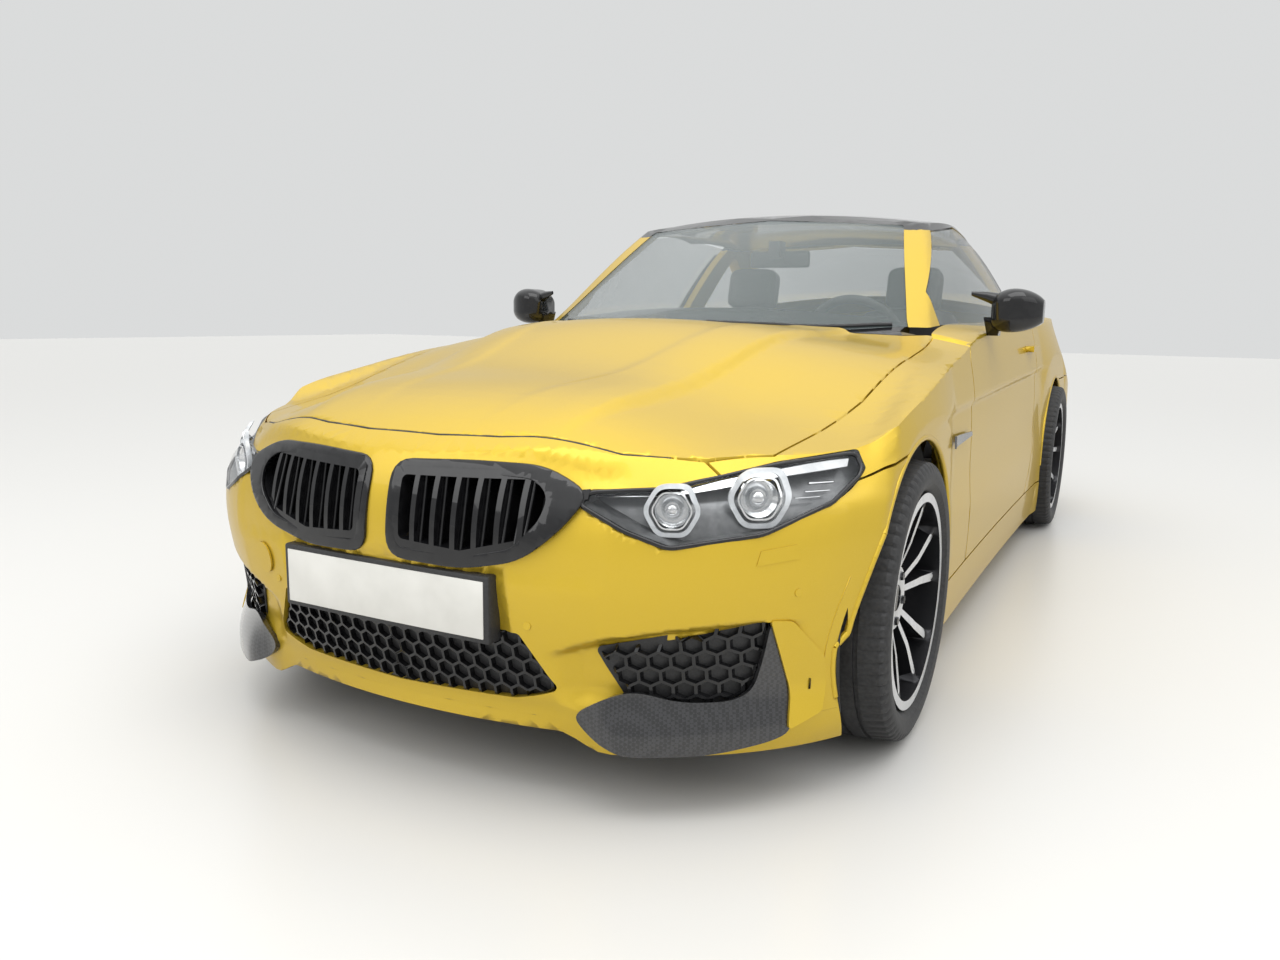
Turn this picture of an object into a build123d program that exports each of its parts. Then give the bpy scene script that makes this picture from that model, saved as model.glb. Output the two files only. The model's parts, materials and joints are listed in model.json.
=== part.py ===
from build123d import *
import os
from math import cos, radians, sin

os.makedirs("parts", exist_ok=True)

# Two-door sports coupe, nose towards -Y, left side towards +X, wheels standing on z = 0.

# Driving sizes, mm
length = 4671
width = 1870
height = 1383
wheelbase = 2812
front_overhang = 801
front_track = 1579
rear_track = 1603

# Wheels and brakes
front_tyre_radius = 330.5
rear_tyre_radius = 337.5
front_tyre_width = 255
rear_tyre_width = 275
rim_radius = 241
rim_wall = 10
rim_flange = 11
flange_width = 8
front_rim_width = 232
rear_rim_width = 250
spoke_count = 5
spoke_start = 90
full_turn = 360
hub_face = 29
hub_radius = 74
tyre_tuck = 14
tyre_belly = 44
tyre_shoulder = 16
tyre_drop = 8
disc_radius = 185
disc_thickness = 30
disc_hat_radius = 92
disc_face = -54
upright_inset = -112
upright_depth = 36
upright_half = 44
upright_reach = 112
stub_reach = 52
stub_radius = 24
bore_clearance = 0.08
clamp_back = 28
clamp_front = 58
clamp_near = 112
clamp_far = 205
clamp_half = 78
bracket_half = 40
wheel_radius = 186
grip_radius = 16
wheel_hub_radius = 70
column_angle = 24
column_length = 150
pivot_x = 700
pivot_radius = 20

# Walls and gaps
skin = 28
door_depth = 118
lamp_depth = 110
glass = 5
glass_inset = 2
glass_gap = 1
frame_depth = 46
gap = 5.5
seat_gap = 0.3
overrun = 400
door_gap = 6.5
arch_radius = 380
inner_arch_radius = 402
front_arch_depth = 470
rear_arch_depth = 620
arch_step = 852
liner = 4
rounding = 14
corner_lean = 45

half_width = width / 2
nose_y = -length / 2
front_axle_y = nose_y + front_overhang
rear_axle_y = front_axle_y + wheelbase


def along(share):
    return nose_y + share * length


def out(share):
    return share * half_width


def up(share):
    return share * height


# Plan outlines of the lower body, from the lip to above the shoulder.
# Each row: height, nose, bow end (out, along), corner (out, along), start of the side (out, along),
# half widths at front axle, behind the arch, waist, ahead of the rear arch, rear axle, behind it,
# tail corner (out, along), tail bow end (out, along), tail. Shares of height, length and half width.
body_shares = (
    (0.085, 0.0150, 0.50, 0.030, 0.80, 0.072, 0.925, 0.110,
     0.950, 0.930, 0.925, 0.935, 0.960, 0.925, 0.81, 0.952, 0.55, 0.974, 0.983),
    (0.200, 0.0085, 0.50, 0.022, 0.80, 0.064, 0.955, 0.108,
     0.978, 0.948, 0.942, 0.952, 0.988, 0.945, 0.84, 0.960, 0.55, 0.985, 0.994),
    (0.330, 0.0000, 0.50, 0.014, 0.80, 0.056, 0.965, 0.106,
     0.990, 0.953, 0.947, 0.957, 1.000, 0.955, 0.85, 0.962, 0.55, 0.991, 1.000),
    (0.450, 0.0018, 0.50, 0.018, 0.80, 0.062, 0.960, 0.112,
     0.988, 0.952, 0.947, 0.957, 0.998, 0.955, 0.85, 0.960, 0.55, 0.990, 0.999),
    (0.530, 0.0120, 0.50, 0.034, 0.80, 0.084, 0.945, 0.130,
     0.962, 0.944, 0.940, 0.950, 0.985, 0.940, 0.84, 0.952, 0.55, 0.984, 0.994),
    (0.640, 0.0420, 0.48, 0.066, 0.76, 0.112, 0.885, 0.150,
     0.905, 0.912, 0.915, 0.922, 0.940, 0.895, 0.80, 0.938, 0.55, 0.974, 0.985),
    (0.820, 0.0800, 0.46, 0.104, 0.70, 0.148, 0.805, 0.176,
     0.812, 0.822, 0.830, 0.838, 0.835, 0.795, 0.72, 0.924, 0.52, 0.962, 0.975),
)
side_station_shares = (0.1715, 0.265, 0.48, 0.68, 0.7735, 0.875)

# Crown of the bonnet, belt and boot. Each row: along, height at the centre, height at the crown's edge.
crown_edge = 0.96
crown_shares = (
    (-0.02, 0.462, 0.395),
    (0.004, 0.500, 0.420),
    (0.020, 0.533, 0.445),
    (0.080, 0.588, 0.515),
    (0.170, 0.645, 0.566),
    (0.260, 0.690, 0.610),
    (0.350, 0.718, 0.652),
    (0.500, 0.735, 0.676),
    (0.660, 0.765, 0.692),
    (0.780, 0.790, 0.700),
    (0.900, 0.782, 0.694),
    (0.975, 0.768, 0.676),
    (1.020, 0.745, 0.650),
)

# Plan outlines of the greenhouse. Each row: height, front centre, front corner (out, along),
# side (out, along), rear corner (out, along), rear centre. Shares as above.
greenhouse_shares = (
    (0.620, 0.2650, 0.810, 0.336, 0.880, 0.540, 0.800, 0.850, 0.9600),
    (0.710, 0.3160, 0.735, 0.374, 0.842, 0.540, 0.745, 0.780, 0.8780),
    (0.800, 0.3640, 0.690, 0.408, 0.776, 0.540, 0.680, 0.735, 0.8100),
    (0.880, 0.4070, 0.648, 0.438, 0.704, 0.540, 0.630, 0.700, 0.7450),
    (0.950, 0.4470, 0.600, 0.466, 0.632, 0.540, 0.565, 0.660, 0.6850),
    (1.020, 0.4900, 0.545, 0.500, 0.560, 0.540, 0.500, 0.610, 0.6300),
)
greenhouse_corner = 60
side_corner_share = 0.3

# Crown of the roof. Each row: along, height at the centre, height at the crown's edge.
roof_edge = 0.95
roof_shares = (
    (0.300, 0.870, 0.772),
    (0.440, 0.966, 0.888),
    (0.540, 1.000, 0.916),
    (0.640, 0.984, 0.901),
    (0.720, 0.938, 0.857),
    (0.860, 0.820, 0.736),
)


def body_ring(inset, drop):
    """Left half of the lower body as a stack of plan outlines, drawn in by inset and down by drop."""
    turn = inset * sin(radians(corner_lean))
    with BuildPart() as ring:
        for z, nose, x1, d1, x2, d2, x3, d3, *sides in body_shares:
            widths, (x4, d4, x5, d5, tail) = sides[:6], sides[6:]
            front = (0, along(nose) + inset)
            bow = (out(x1), along(d1) + inset)
            corner = (out(x2) - turn, along(d2) + turn)
            start = (out(x3) - inset, along(d3))
            side = [(out(x) - inset, along(d)) for x, d in zip(widths, side_station_shares)]
            tail_corner = (out(x4) - turn, along(d4) - turn)
            tail_bow = (out(x5), along(d5) - inset)
            back = (0, along(tail) - inset)
            with BuildSketch(Plane.XY.offset(up(z) - drop)):
                with BuildLine():
                    TangentArc(front, bow, tangent=(1, 0))
                    ThreePointArc(bow, corner, start)
                    ThreePointArc(start, side[0], side[1])
                    ThreePointArc(side[1], side[2], side[3])
                    ThreePointArc(side[3], side[4], side[5])
                    ThreePointArc(side[5], tail_corner, tail_bow)
                    TangentArc(back, tail_bow, tangent=(1, 0))
                    Line(back, front)
                make_face()
        loft()
    return ring.part


def crowned(shares, edge_share, drop, floor):
    """Left half of everything under a crowned surface that runs along the car."""
    edge = out(edge_share)
    with BuildPart() as body:
        for d, centre, side in shares:
            top = (0, up(centre) - drop)
            shoulder = (edge, up(side) - drop)
            with BuildSketch(Plane.XZ.offset(-along(d))):
                with BuildLine():
                    TangentArc(top, shoulder, tangent=(1, 0))
                    Polyline(shoulder, (edge, floor), (0, floor), top)
                make_face()
        loft()
    return body.part


def greenhouse_ring(inset):
    """Left half of the greenhouse as a stack of plan outlines with rounded pillars, drawn in by inset."""
    with BuildPart() as ring:
        for z, front, x1, d1, x2, d2, x3, d3, rear in greenhouse_shares:
            bow = (0, along(front) + inset)
            first = (out(x1) - inset, along(d1) + inset)
            middle = (out(x2) - inset, along(d2))
            last = (out(x3) - inset, along(d3) - inset)
            tail = (0, along(rear) - inset)
            with BuildSketch(Plane.XY.offset(up(z))) as level:
                with BuildLine():
                    TangentArc(bow, first, tangent=(1, 0))
                    ThreePointArc(first, middle, last)
                    TangentArc(tail, last, tangent=(1, 0))
                    Line(tail, bow)
                make_face()
                corners = level.vertices().filter_by(lambda corner: corner.X > out(side_corner_share))
                fillet(corners, greenhouse_corner)
        loft()
    return ring.part


# Outlines where the panels meet. Side outlines are (along, up), plan outlines (out, along),
# front and rear ones (out, up). Only the left half is drawn; outlines that cross the middle run past it.
bonnet_shares = (
    (-0.10, 0.0195), (0.10, 0.0197), (0.245, 0.0236), (0.50, 0.037), (0.645, 0.0565), (0.75, 0.078),
    (0.80, 0.17), (0.81, 0.26), (0.785, 0.345), (0.70, 0.331), (0.45, 0.312), (0.10, 0.3005), (-0.10, 0.300),
)
cowl_shares = (
    (-0.1, 0.270), (0.79, 0.290), (0.79, 0.3508), (0.73, 0.3518), (0.73, 0.368), (-0.1, 0.360),
)
fender_shares = (
    (0.056, 0.505), (0.15, 0.505), (0.19, 0.40), (0.20, 0.194), (0.3285, 0.194),
    (0.3285, 0.62), (0.336, 0.66), (0.352, 0.72), (0.352, 0.90), (0.056, 0.90),
)
door_shares = (
    (0.3300, 0.194), (0.605, 0.194), (0.632, 0.32), (0.640, 0.62), (0.640, 0.90),
    (0.3535, 0.90), (0.3535, 0.72), (0.3375, 0.66), (0.3300, 0.62),
)
quarter_shares = (
    (0.6065, 0.194), (0.6335, 0.32), (0.6415, 0.62), (0.6415, 0.90), (1.02, 0.90),
    (1.02, 0.506), (0.80, 0.506), (0.72, 0.194),
)
rear_bumper_shares = ((0.78, 0.04), (1.02, 0.04), (1.02, 0.502), (0.78, 0.502))
boot_shares = (
    (-0.1, 0.848), (0.10, 0.848), (0.56, 0.853), (0.62, 0.880), (0.63, 0.940), (0.60, 1.04), (-0.1, 1.04),
)
headlight_shares = (
    (0.46, 0.452), (0.47, 0.484), (0.60, 0.505), (0.76, 0.534), (0.88, 0.545),
    (0.905, 0.515), (0.875, 0.448), (0.78, 0.412), (0.63, 0.398), (0.55, 0.420),
)
grille_shares = ((0.048, 0.376), (0.043, 0.488), (0.36, 0.494), (0.452, 0.462), (0.36, 0.392), (0.22, 0.368))
lower_intake_shares = ((-0.1, 0.262), (0.335, 0.266), (0.405, 0.182), (0.30, 0.150), (-0.1, 0.134))
side_intake_shares = ((0.50, 0.246), (0.80, 0.290), (0.862, 0.200), (0.86, 0.150), (0.58, 0.122))
splitter_shares = ((-0.1, 0.112), (0.60, 0.112), (0.88, 0.140), (1.10, 0.140), (1.10, 0.02), (-0.1, 0.02))
tail_light_shares = (
    (0.645, 0.572), (0.645, 0.672), (0.86, 0.680), (1.04, 0.668), (1.04, 0.575), (0.84, 0.560),
)
boot_lamp_shares = ((0.40, 0.580), (0.40, 0.664), (0.590, 0.670), (0.590, 0.574))
diffuser_shares = ((-0.1, 0.265), (0.64, 0.265), (0.72, 0.150), (0.72, 0.04), (-0.1, 0.04))
window_shares = (
    (0.372, 0.60), (0.396, 0.765), (0.466, 0.925), (0.545, 0.955), (0.640, 0.935),
    (0.725, 0.800), (0.742, 0.706), (0.700, 0.60),
)
windscreen_shares = ((-0.1, 0.60), (0.76, 0.60), (0.675, 0.705), (0.530, 0.942), (-0.1, 0.968))
rear_window_shares = ((-0.1, 0.60), (0.74, 0.60), (0.66, 0.790), (0.50, 0.925), (-0.1, 0.948))
roof_plan_shares = ((-0.1, 0.456), (0.57, 0.476), (0.60, 0.560), (0.545, 0.655), (-0.1, 0.675))
pillar_shares = ((0.627, 0.60), (0.663, 0.60), (0.655, 1.0), (0.635, 1.0))

# Upright bars of a grille: places out, half width out, then their reach (along, along, up, up)
bar_shares = (0.10, 0.15, 0.20, 0.25, 0.30, 0.35)
bar_half_share = 0.006
bar_reach_share = (-0.1, 0.1, 0.3, 0.55)

# Boxes of the body: out, out, along, along, up, up
nose_share = (-0.1, 1.2, -0.1, 0.37, 0.0, 1.1)
tail_share = (-0.1, 1.2, 0.58, 1.1, 0.0, 1.1)
headlight_share = (-0.1, 1.2, -0.1, 0.1320, 0.0, 1.1)
tail_light_share = (-0.1, 1.2, 0.925, 1.1, 0.0, 1.1)
intake_share = (-0.1, 1.2, -0.1, 0.080, 0.0, 1.1)
bumper_share = (-0.1, 1.2, -0.1, 0.1715, 0.0, 0.8)
sill_share = (0.5, 1.2, 0.20, 0.72, 0.080, 0.190)
boot_lid_share = (-0.1, 1.2, 0.8, 1.1, 0.508, 1.0)
front_glass_share = (-0.1, 1.2, 0.2, 0.6417, 0.0, 1.1)
rear_glass_share = (-0.1, 1.2, 0.6431, 1.0, 0.0, 1.1)
roof_share = (-0.1, 1.2, 0.4, 0.7, 0.85, 1.1)
door_share = (-0.1, 1.2, 0.3, 0.67, 0.1, 1.1)
door_clear_share = (0.68, 1.2, 0.3, 0.67, 0.1, 1.1)
boot_gap_share = (-0.1, 1.2, 0.8, 1.1, 0.502, 1.0)
grip_share = (0.90, 0.955, 0.583, 0.617, 0.617, 0.634)

# Mirror housing. Each row: out, along, up, size along, size up. The foot is a box as below.
mirror_shares = (
    (0.915, 0.4080, 0.722, 0.020, 0.062), (0.95, 0.4060, 0.726, 0.030, 0.092),
    (1.03, 0.4060, 0.728, 0.026, 0.088), (1.076, 0.4080, 0.726, 0.012, 0.050),
)
mirror_corner_share = 0.3
mirror_foot_share = (0.86, 0.94, 0.4010, 0.4120, 0.670, 0.712)

# Exhaust tips: out, up. Then start and end of a tip, of its bore and of its hole, along.
tip_shares = ((0.445, 0.215), (0.565, 0.215))
tip_run_share = (0.955, 0.994)
tip_bore_share = (0.965, 1.0)
tip_hole_share = (0.94, 1.1)
tip_radius = 40
tip_gap = 8
house_share = 0.90
house_low_share = 0.13

# Suspension arms and pipes: start and end, each (out, along, up)
lower_arm_share = 0.137
upper_arm_share = 0.342
tower_out_share = 0.5027
pivot_share = pivot_x / half_width
arm_shares = (
    ((0.340, 0.1560, lower_arm_share), (pivot_share, 0.1715, lower_arm_share)),
    ((0.340, 0.1870, lower_arm_share), (pivot_share, 0.1715, lower_arm_share)),
)
rear_arm_shares = (
    ((0.400, 0.7650, 0.190), (0.760, 0.7735, 0.170)),
    ((0.400, 0.7735, 0.205), (0.760, 0.7735, 0.244)),
    ((0.370, 0.7735, 0.310), (0.760, 0.7735, 0.310)),
)
pipe_shares = (
    ((0.060, 0.270, 0.075), (0.060, 0.820, 0.075)),
    ((0.060, 0.820, 0.075), (0.060, 0.900, 0.200)),
)
arm_radius = 15
pipe_radius = 24

# Rim faces: (outwards from the hub face in rim widths, from the bore to the rim's seat), and one spoke leg
# as (radius in rim radii, angle in degrees either way).
dish_shares = (
    (0.0, 0.0), (0.16, 0.0), (0.16, 0.22), (0.24, 0.50), (0.33, 0.98), (0.10, 0.98), (0.04, 0.50), (0.0, 0.22),
)
spoke_shares = ((0.20, 3.0), (0.60, 10.0), (0.975, 14.0), (0.975, 19.5), (0.60, 17.5), (0.22, 20.0))

# Side outlines inside the cabin: (along, up)
dashboard_shares = (
    (0.29255, 0.480), (0.29255, 0.622), (0.355, 0.629), (0.376, 0.668), (0.417, 0.643), (0.426, 0.590),
    (0.413, 0.450), (0.385, 0.370), (0.330, 0.370),
)
seat_shares = (
    (0.458, 0.1203), (0.454, 0.290), (0.467, 0.325), (0.552, 0.290), (0.599, 0.735), (0.620, 0.760),
    (0.634, 0.710), (0.592, 0.262), (0.580, 0.1203),
)
headrest_shares = ((0.606, 0.72), (0.611, 0.855), (0.630, 0.868), (0.637, 0.78), (0.628, 0.72))
rear_seat_shares = (
    (0.661, 0.3402), (0.655, 0.376), (0.668, 0.405), (0.732, 0.384), (0.771, 0.672), (0.788, 0.687),
    (0.7998, 0.650), (0.7998, 0.3402),
)

# Half widths of the dashboard and rear seat, inner and outer sides of a front seat and its headrest, out
dashboard_half_share = 0.725
rear_seat_half_share = 0.636
seat_sides_share = (0.134, 0.655)
headrest_sides_share = (0.27, 0.52)

# Middle of the steering wheel: out, along, up
steering_share = (0.40, 0.4330, 0.640)

# Boxes underneath and inside, same order; they reach across the car unless their first value is above zero.
floor_share = (0.0, 0.95, 0.294, 0.688, 0.100, 0.120)
tunnel_share = (0.0, 0.120, 0.294, 0.668, 0.120, 0.230)
firewall_share = (0.0, 0.700, 0.288, 0.2925, 0.100, 0.620)
rail_share = (0.385, 0.485, 0.045, 0.288, 0.290, 0.370)
tower_share = (0.385, 0.5023, 0.140, 0.205, 0.370, 0.570)
radiator_share = (0.0, 0.485, 0.037, 0.046, 0.160, 0.440)
beam_share = (0.0, 0.500, 0.030, 0.038, 0.300, 0.350)
engine_share = (0.0, 0.270, 0.155, 0.270, 0.1653, 0.560)
heel_share = (0.0, 0.655, 0.6884, 0.6925, 0.100, 0.340)
boot_floor_share = (0.0, 0.655, 0.6900, 0.945, 0.328, 0.340)
inner_side_share = (0.640, 0.6627, 0.6900, 0.925, 0.330, 0.640)
seat_wall_share = (0.0, 0.645, 0.8000, 0.804, 0.335, 0.646)
shelf_share = (0.0, 0.650, 0.8003, 0.846, 0.636, 0.652)
subframe_share = (0.0, 0.360, 0.150, 0.195, 0.118, 0.165)
rear_frame_share = (0.0, 0.420, 0.745, 0.800, 0.165, 0.215)
rear_post_share = (0.340, 0.400, 0.760, 0.785, 0.165, 0.3278)
post_share = (0.345, 0.400, 0.160, 0.185, 0.118, 0.2898)
muffler_share = (0.0, 0.620, 0.885, 0.957, 0.165, 0.262)
house_window_share = (0.45, 0.72, 0.145, 0.198, 0.05, 0.380)
rear_window_hole_share = (0.60, 0.72, 0.755, 0.792, 0.05, 0.330)
plan_floor = 0.44
outline_corner = 12
window_corner = 22
sill_depth = 150
grille_depth = 60
grille_rim = 16
mesh_lap = 12
mesh_depth = 8
door_step = 26
door_edge = 12


def prism(plane, outline, depth, radius=0, both=False):
    """Cutter: a closed outline of points on a plane, pushed out."""
    with BuildPart() as cutter:
        with BuildSketch(plane) as face:
            with BuildLine():
                Polyline(*outline, close=True)
            make_face()
            if radius:
                fillet(face.vertices(), radius)
        extrude(amount=depth, both=both)
    return cutter.part


def side_points(shares):
    return [(along(d), up(z)) for d, z in shares]


def plan_points(shares):
    return [(out(x), along(d)) for x, d in shares]


def front_points(shares):
    return [(out(x), up(z)) for x, z in shares]


def grown(points, amount):
    """Outline pushed out by amount."""
    if not amount:
        return points
    with BuildSketch(mode=Mode.PRIVATE) as face:
        with BuildLine():
            Polyline(*points, close=True)
        make_face()
        offset(amount=amount, kind=Kind.INTERSECTION)
    edges = face.sketch.faces()[0].outer_wire().order_edges()
    return [((edge @ 0).X, (edge @ 0).Y) for edge in edges]


def side_cut(shares, grow=0, radius=outline_corner):
    return prism(Plane.YZ, grown(side_points(shares), grow), width, radius)


def plan_cut(shares, grow=0, radius=outline_corner):
    return prism(Plane.XY.offset(up(plan_floor)), grown(plan_points(shares), grow), height, radius)


def front_cut(shares, grow=0, radius=outline_corner):
    return prism(Plane.XZ, grown(front_points(shares), grow), length, radius)


def rear_cut(shares, grow=0, radius=outline_corner):
    return prism(Plane.XZ, grown(front_points(shares), grow), -length, radius)


def slab(x_from, x_to, y_from, y_to, z_from, z_to):
    """Box between two corners."""
    with BuildPart(mode=Mode.PRIVATE) as block:
        with Locations(((x_from + x_to) / 2, (y_from + y_to) / 2, (z_from + z_to) / 2)):
            Box(abs(x_to - x_from), abs(y_to - y_from), abs(z_to - z_from))
    return block.part


def sized(shares):
    """Box from shares: out, out, along, along, up, up."""
    x1, x2, d1, d2, z1, z2 = shares
    return slab(out(x1), out(x2), along(d1), along(d2), up(z1), up(z2))


def profile(shares, x_from, x_to, radius=rounding):
    """Side outline pulled across the car between two widths."""
    with BuildPart(mode=Mode.PRIVATE) as piece:
        with BuildSketch(Plane.YZ.offset(out(x_from))) as face:
            with BuildLine():
                Polyline(*side_points(shares), close=True)
            make_face()
            fillet(face.vertices(), radius)
        extrude(amount=out(x_to) - out(x_from))
    return piece.part


def bar(start, end, radius):
    """Round bar between two points given as (out, along, up) shares."""
    first = Vector(out(start[0]), along(start[1]), up(start[2]))
    last = Vector(out(end[0]), along(end[1]), up(end[2]))
    with BuildPart(mode=Mode.PRIVATE) as rod:
        with BuildSketch(Plane(origin=first, z_dir=last - first)):
            Circle(radius)
        extrude(amount=(last - first).length)
    return rod.part


def drum(x_from, x_to, y, z, radius):
    """Cylinder along X."""
    with BuildPart(mode=Mode.PRIVATE) as roller:
        with BuildSketch(Plane.YZ.offset(min(x_from, x_to))):
            with Locations((y, z)):
                Circle(radius)
        extrude(amount=abs(x_to - x_from))
    return roller.part


def drum_y(x, z, d_from, d_to, radius):
    """Cylinder along the car between two shares."""
    with BuildPart(mode=Mode.PRIVATE) as roller:
        with BuildSketch(Plane.XZ.offset(-along(d_from))):
            with Locations((out(x), up(z))):
                Circle(radius)
        extrude(amount=along(d_from) - along(d_to))
    return roller.part


def joined(*pieces):
    return pieces[0] + list(pieces[1:])


def turned(profile_points, x, y, z, side):
    """Ring about the wheel axis from (outwards, radius) points; side is 1 on the left and -1 on the right."""
    with BuildPart(mode=Mode.PRIVATE) as ring:
        with BuildSketch(Plane.XY):
            with BuildLine():
                Polyline(*[(x + side * a, r) for a, r in profile_points], close=True)
            make_face()
        revolve(axis=Axis.X)
    return ring.part.moved(Location((0, y, z)))


def apart(pieces):
    """Separate solids kept under one name."""
    return Part(Compound(children=[solid for piece in pieces for solid in piece.solids()]).wrapped)


def biggest(part):
    """Largest solid of a cut, without slivers."""
    return apart(sorted(part.solids(), key=lambda solid: solid.volume)[-1:])


def pair(part):
    return apart([part, part.mirror(Plane.YZ)])


def whole(part):
    return part + part.mirror(Plane.YZ)


def save(part, name):
    """Label a sub-part and write it to its own file."""
    part.label = name
    export_step(part, f"parts/{name}.step")


def side_wheels(front_inner, rear_inner, outer):
    """Cylinders at the left wheels, wider inside where the front wheel steers."""
    front = drum(front_inner, outer, front_axle_y, front_tyre_radius, arch_radius)
    steered = drum(front_inner, arch_step, front_axle_y, front_tyre_radius, inner_arch_radius)
    rear = drum(rear_inner, outer, rear_axle_y, rear_tyre_radius, arch_radius)
    return front + steered, rear


front_arch, rear_arch = side_wheels(front_arch_depth, rear_arch_depth, width)

# Left half of the body: the outer surface, walls of several depths and the greenhouse
body_outer = body_ring(0, 0) & crowned(crown_shares, crown_edge, 0, 0)
body_inner = body_ring(skin, skin) & crowned(crown_shares, crown_edge, skin, -overrun)
nose_outer = body_outer & sized(nose_share)
tail_outer = body_outer & sized(tail_share)
nose_skin = (nose_outer - body_inner) - front_arch
tail_skin = (tail_outer - body_inner) - rear_arch
ring_lamp = body_ring(lamp_depth, 0)
ring_grille = body_ring(grille_depth, 0)
over_crown = crowned(crown_shares, crown_edge, -seat_gap, 0)
green_outer = greenhouse_ring(0) & crowned(roof_shares, roof_edge, 0, 0)
green_void = greenhouse_ring(frame_depth)
green_shell = (green_outer - (green_void & crowned(roof_shares, roof_edge, skin, 0))) - over_crown
glass_outer = greenhouse_ring(glass_inset) & crowned(roof_shares, roof_edge, glass_inset, 0)
glass_shell = (glass_outer - greenhouse_ring(glass_inset + glass)) - over_crown

# Bonnet, cowl, fenders, headlights and front bumper
bonnet_space = plan_cut(bonnet_shares, gap)
lamp_box = sized(headlight_share)
lamp_space = front_cut(headlight_shares, seat_gap) & lamp_box
bonnet_half = biggest(nose_skin & plan_cut(bonnet_shares))
door_clear = side_cut(door_shares, door_gap) & sized(door_clear_share)
cowl_half = biggest((nose_skin & plan_cut(cowl_shares)) - bonnet_space - door_clear)
fender = (nose_skin & side_cut(fender_shares)) - bonnet_space - lamp_space
fender = biggest(fender - plan_cut(cowl_shares, seat_gap))
headlight = (nose_outer - ring_lamp) & (front_cut(headlight_shares) & lamp_box)
headlight = biggest(headlight - front_arch - bonnet_space)
grille_block = biggest((nose_outer - ring_grille) & front_cut(grille_shares))
openings = (
    lamp_space + front_cut(grille_shares, seat_gap) + front_cut(lower_intake_shares, seat_gap)
    + front_cut(side_intake_shares, seat_gap) + front_cut(splitter_shares, seat_gap)
)
bumper_skin = (nose_skin & sized(bumper_share)) - side_cut(fender_shares, gap) - bonnet_space
bumper_half = biggest(bumper_skin - openings)
splitter_half = biggest(bumper_skin & front_cut(splitter_shares))
save(whole(bonnet_half), "bonnet")
save(whole(cowl_half), "cowl")
save(pair(fender), "front_fenders")
save(pair(headlight), "headlights")
save(whole(bumper_half), "front_bumper")
save(whole(splitter_half), "front_splitter")

# Grilles: a frame with upright bars each side, and meshes in the low openings
bars = [sized((x - bar_half_share, x + bar_half_share, *bar_reach_share)) for x in bar_shares]
kidney = grille_block - (front_cut(grille_shares, -grille_rim) - bars)
save(pair(kidney), "kidney_grilles")
mesh_front = body_ring(skin + seat_gap, skin)
mesh_back = body_ring(skin + mesh_depth, skin)
lower_mesh = biggest(((nose_outer & front_cut(lower_intake_shares, mesh_lap)) & mesh_front) - mesh_back)
side_mesh = nose_outer & (front_cut(side_intake_shares, mesh_lap) & sized(intake_share))
side_mesh = biggest((side_mesh & mesh_front) - mesh_back)
save(apart([whole(lower_mesh), pair(side_mesh)]), "intake_meshes")

# Greenhouse: frame, roof and glass
window_opening = side_cut(window_shares, door_gap, window_corner)
windscreen_opening = front_cut(windscreen_shares, glass_gap, window_corner)
rear_opening = rear_cut(rear_window_shares, glass_gap, window_corner)
roof_half = biggest(green_shell & (plan_cut(roof_plan_shares) & sized(roof_share)))
roof_space = plan_cut(roof_plan_shares, glass_gap) & sized(roof_share)
frame_half = green_shell - window_opening - windscreen_opening - rear_opening - roof_space
pillar = (greenhouse_ring(glass_inset + glass + door_gap) - green_void) & side_cut(pillar_shares)
pillar = pillar & window_opening
pillar = biggest(pillar - over_crown - roof_space)
frame_half = biggest(frame_half) + pillar
side_glass = glass_shell & side_cut(window_shares, 0, window_corner)
door_glass = biggest(side_glass & sized(front_glass_share))
quarter_glass = biggest(side_glass & sized(rear_glass_share))
windscreen_half = biggest(glass_shell & front_cut(windscreen_shares, 0, window_corner))
rear_window_half = biggest(glass_shell & rear_cut(rear_window_shares, 0, window_corner))
save(whole(roof_half), "roof_panel")
save(whole(frame_half), "roof_frame")
save(pair(quarter_glass), "quarter_windows")
save(whole(windscreen_half), "windscreen")
save(whole(rear_window_half), "rear_window")

# Doors with their mirrors and handles
door_body = body_outer & sized(door_share)
door_inner = (door_body - body_ring(door_depth, 0)) & side_cut(door_shares, -door_step)
door_outer = (door_body - body_ring(door_edge, 0)) & side_cut(door_shares)
door = biggest(door_inner + door_outer)
with BuildPart() as housing:
    for x, d, z, along_size, up_size in mirror_shares:
        with BuildSketch(Plane.YZ.offset(out(x))):
            with Locations((along(d), up(z))):
                tall = up_size * height
                RectangleRounded(along_size * length, tall, mirror_corner_share * tall)
    loft()
over_body = body_ring(-seat_gap, 0)
housing = biggest((housing.part + sized(mirror_foot_share)) - over_body)
grip = biggest(sized(grip_share) - over_body)
for side, name in ((1, "left"), (-1, "right")):
    for piece, label in ((door, "door"), (door_glass, "door_glass"), (housing, "mirror"), (grip, "handle")):
        save(piece if side > 0 else piece.mirror(Plane.YZ), f"{label}_{name}")

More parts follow.
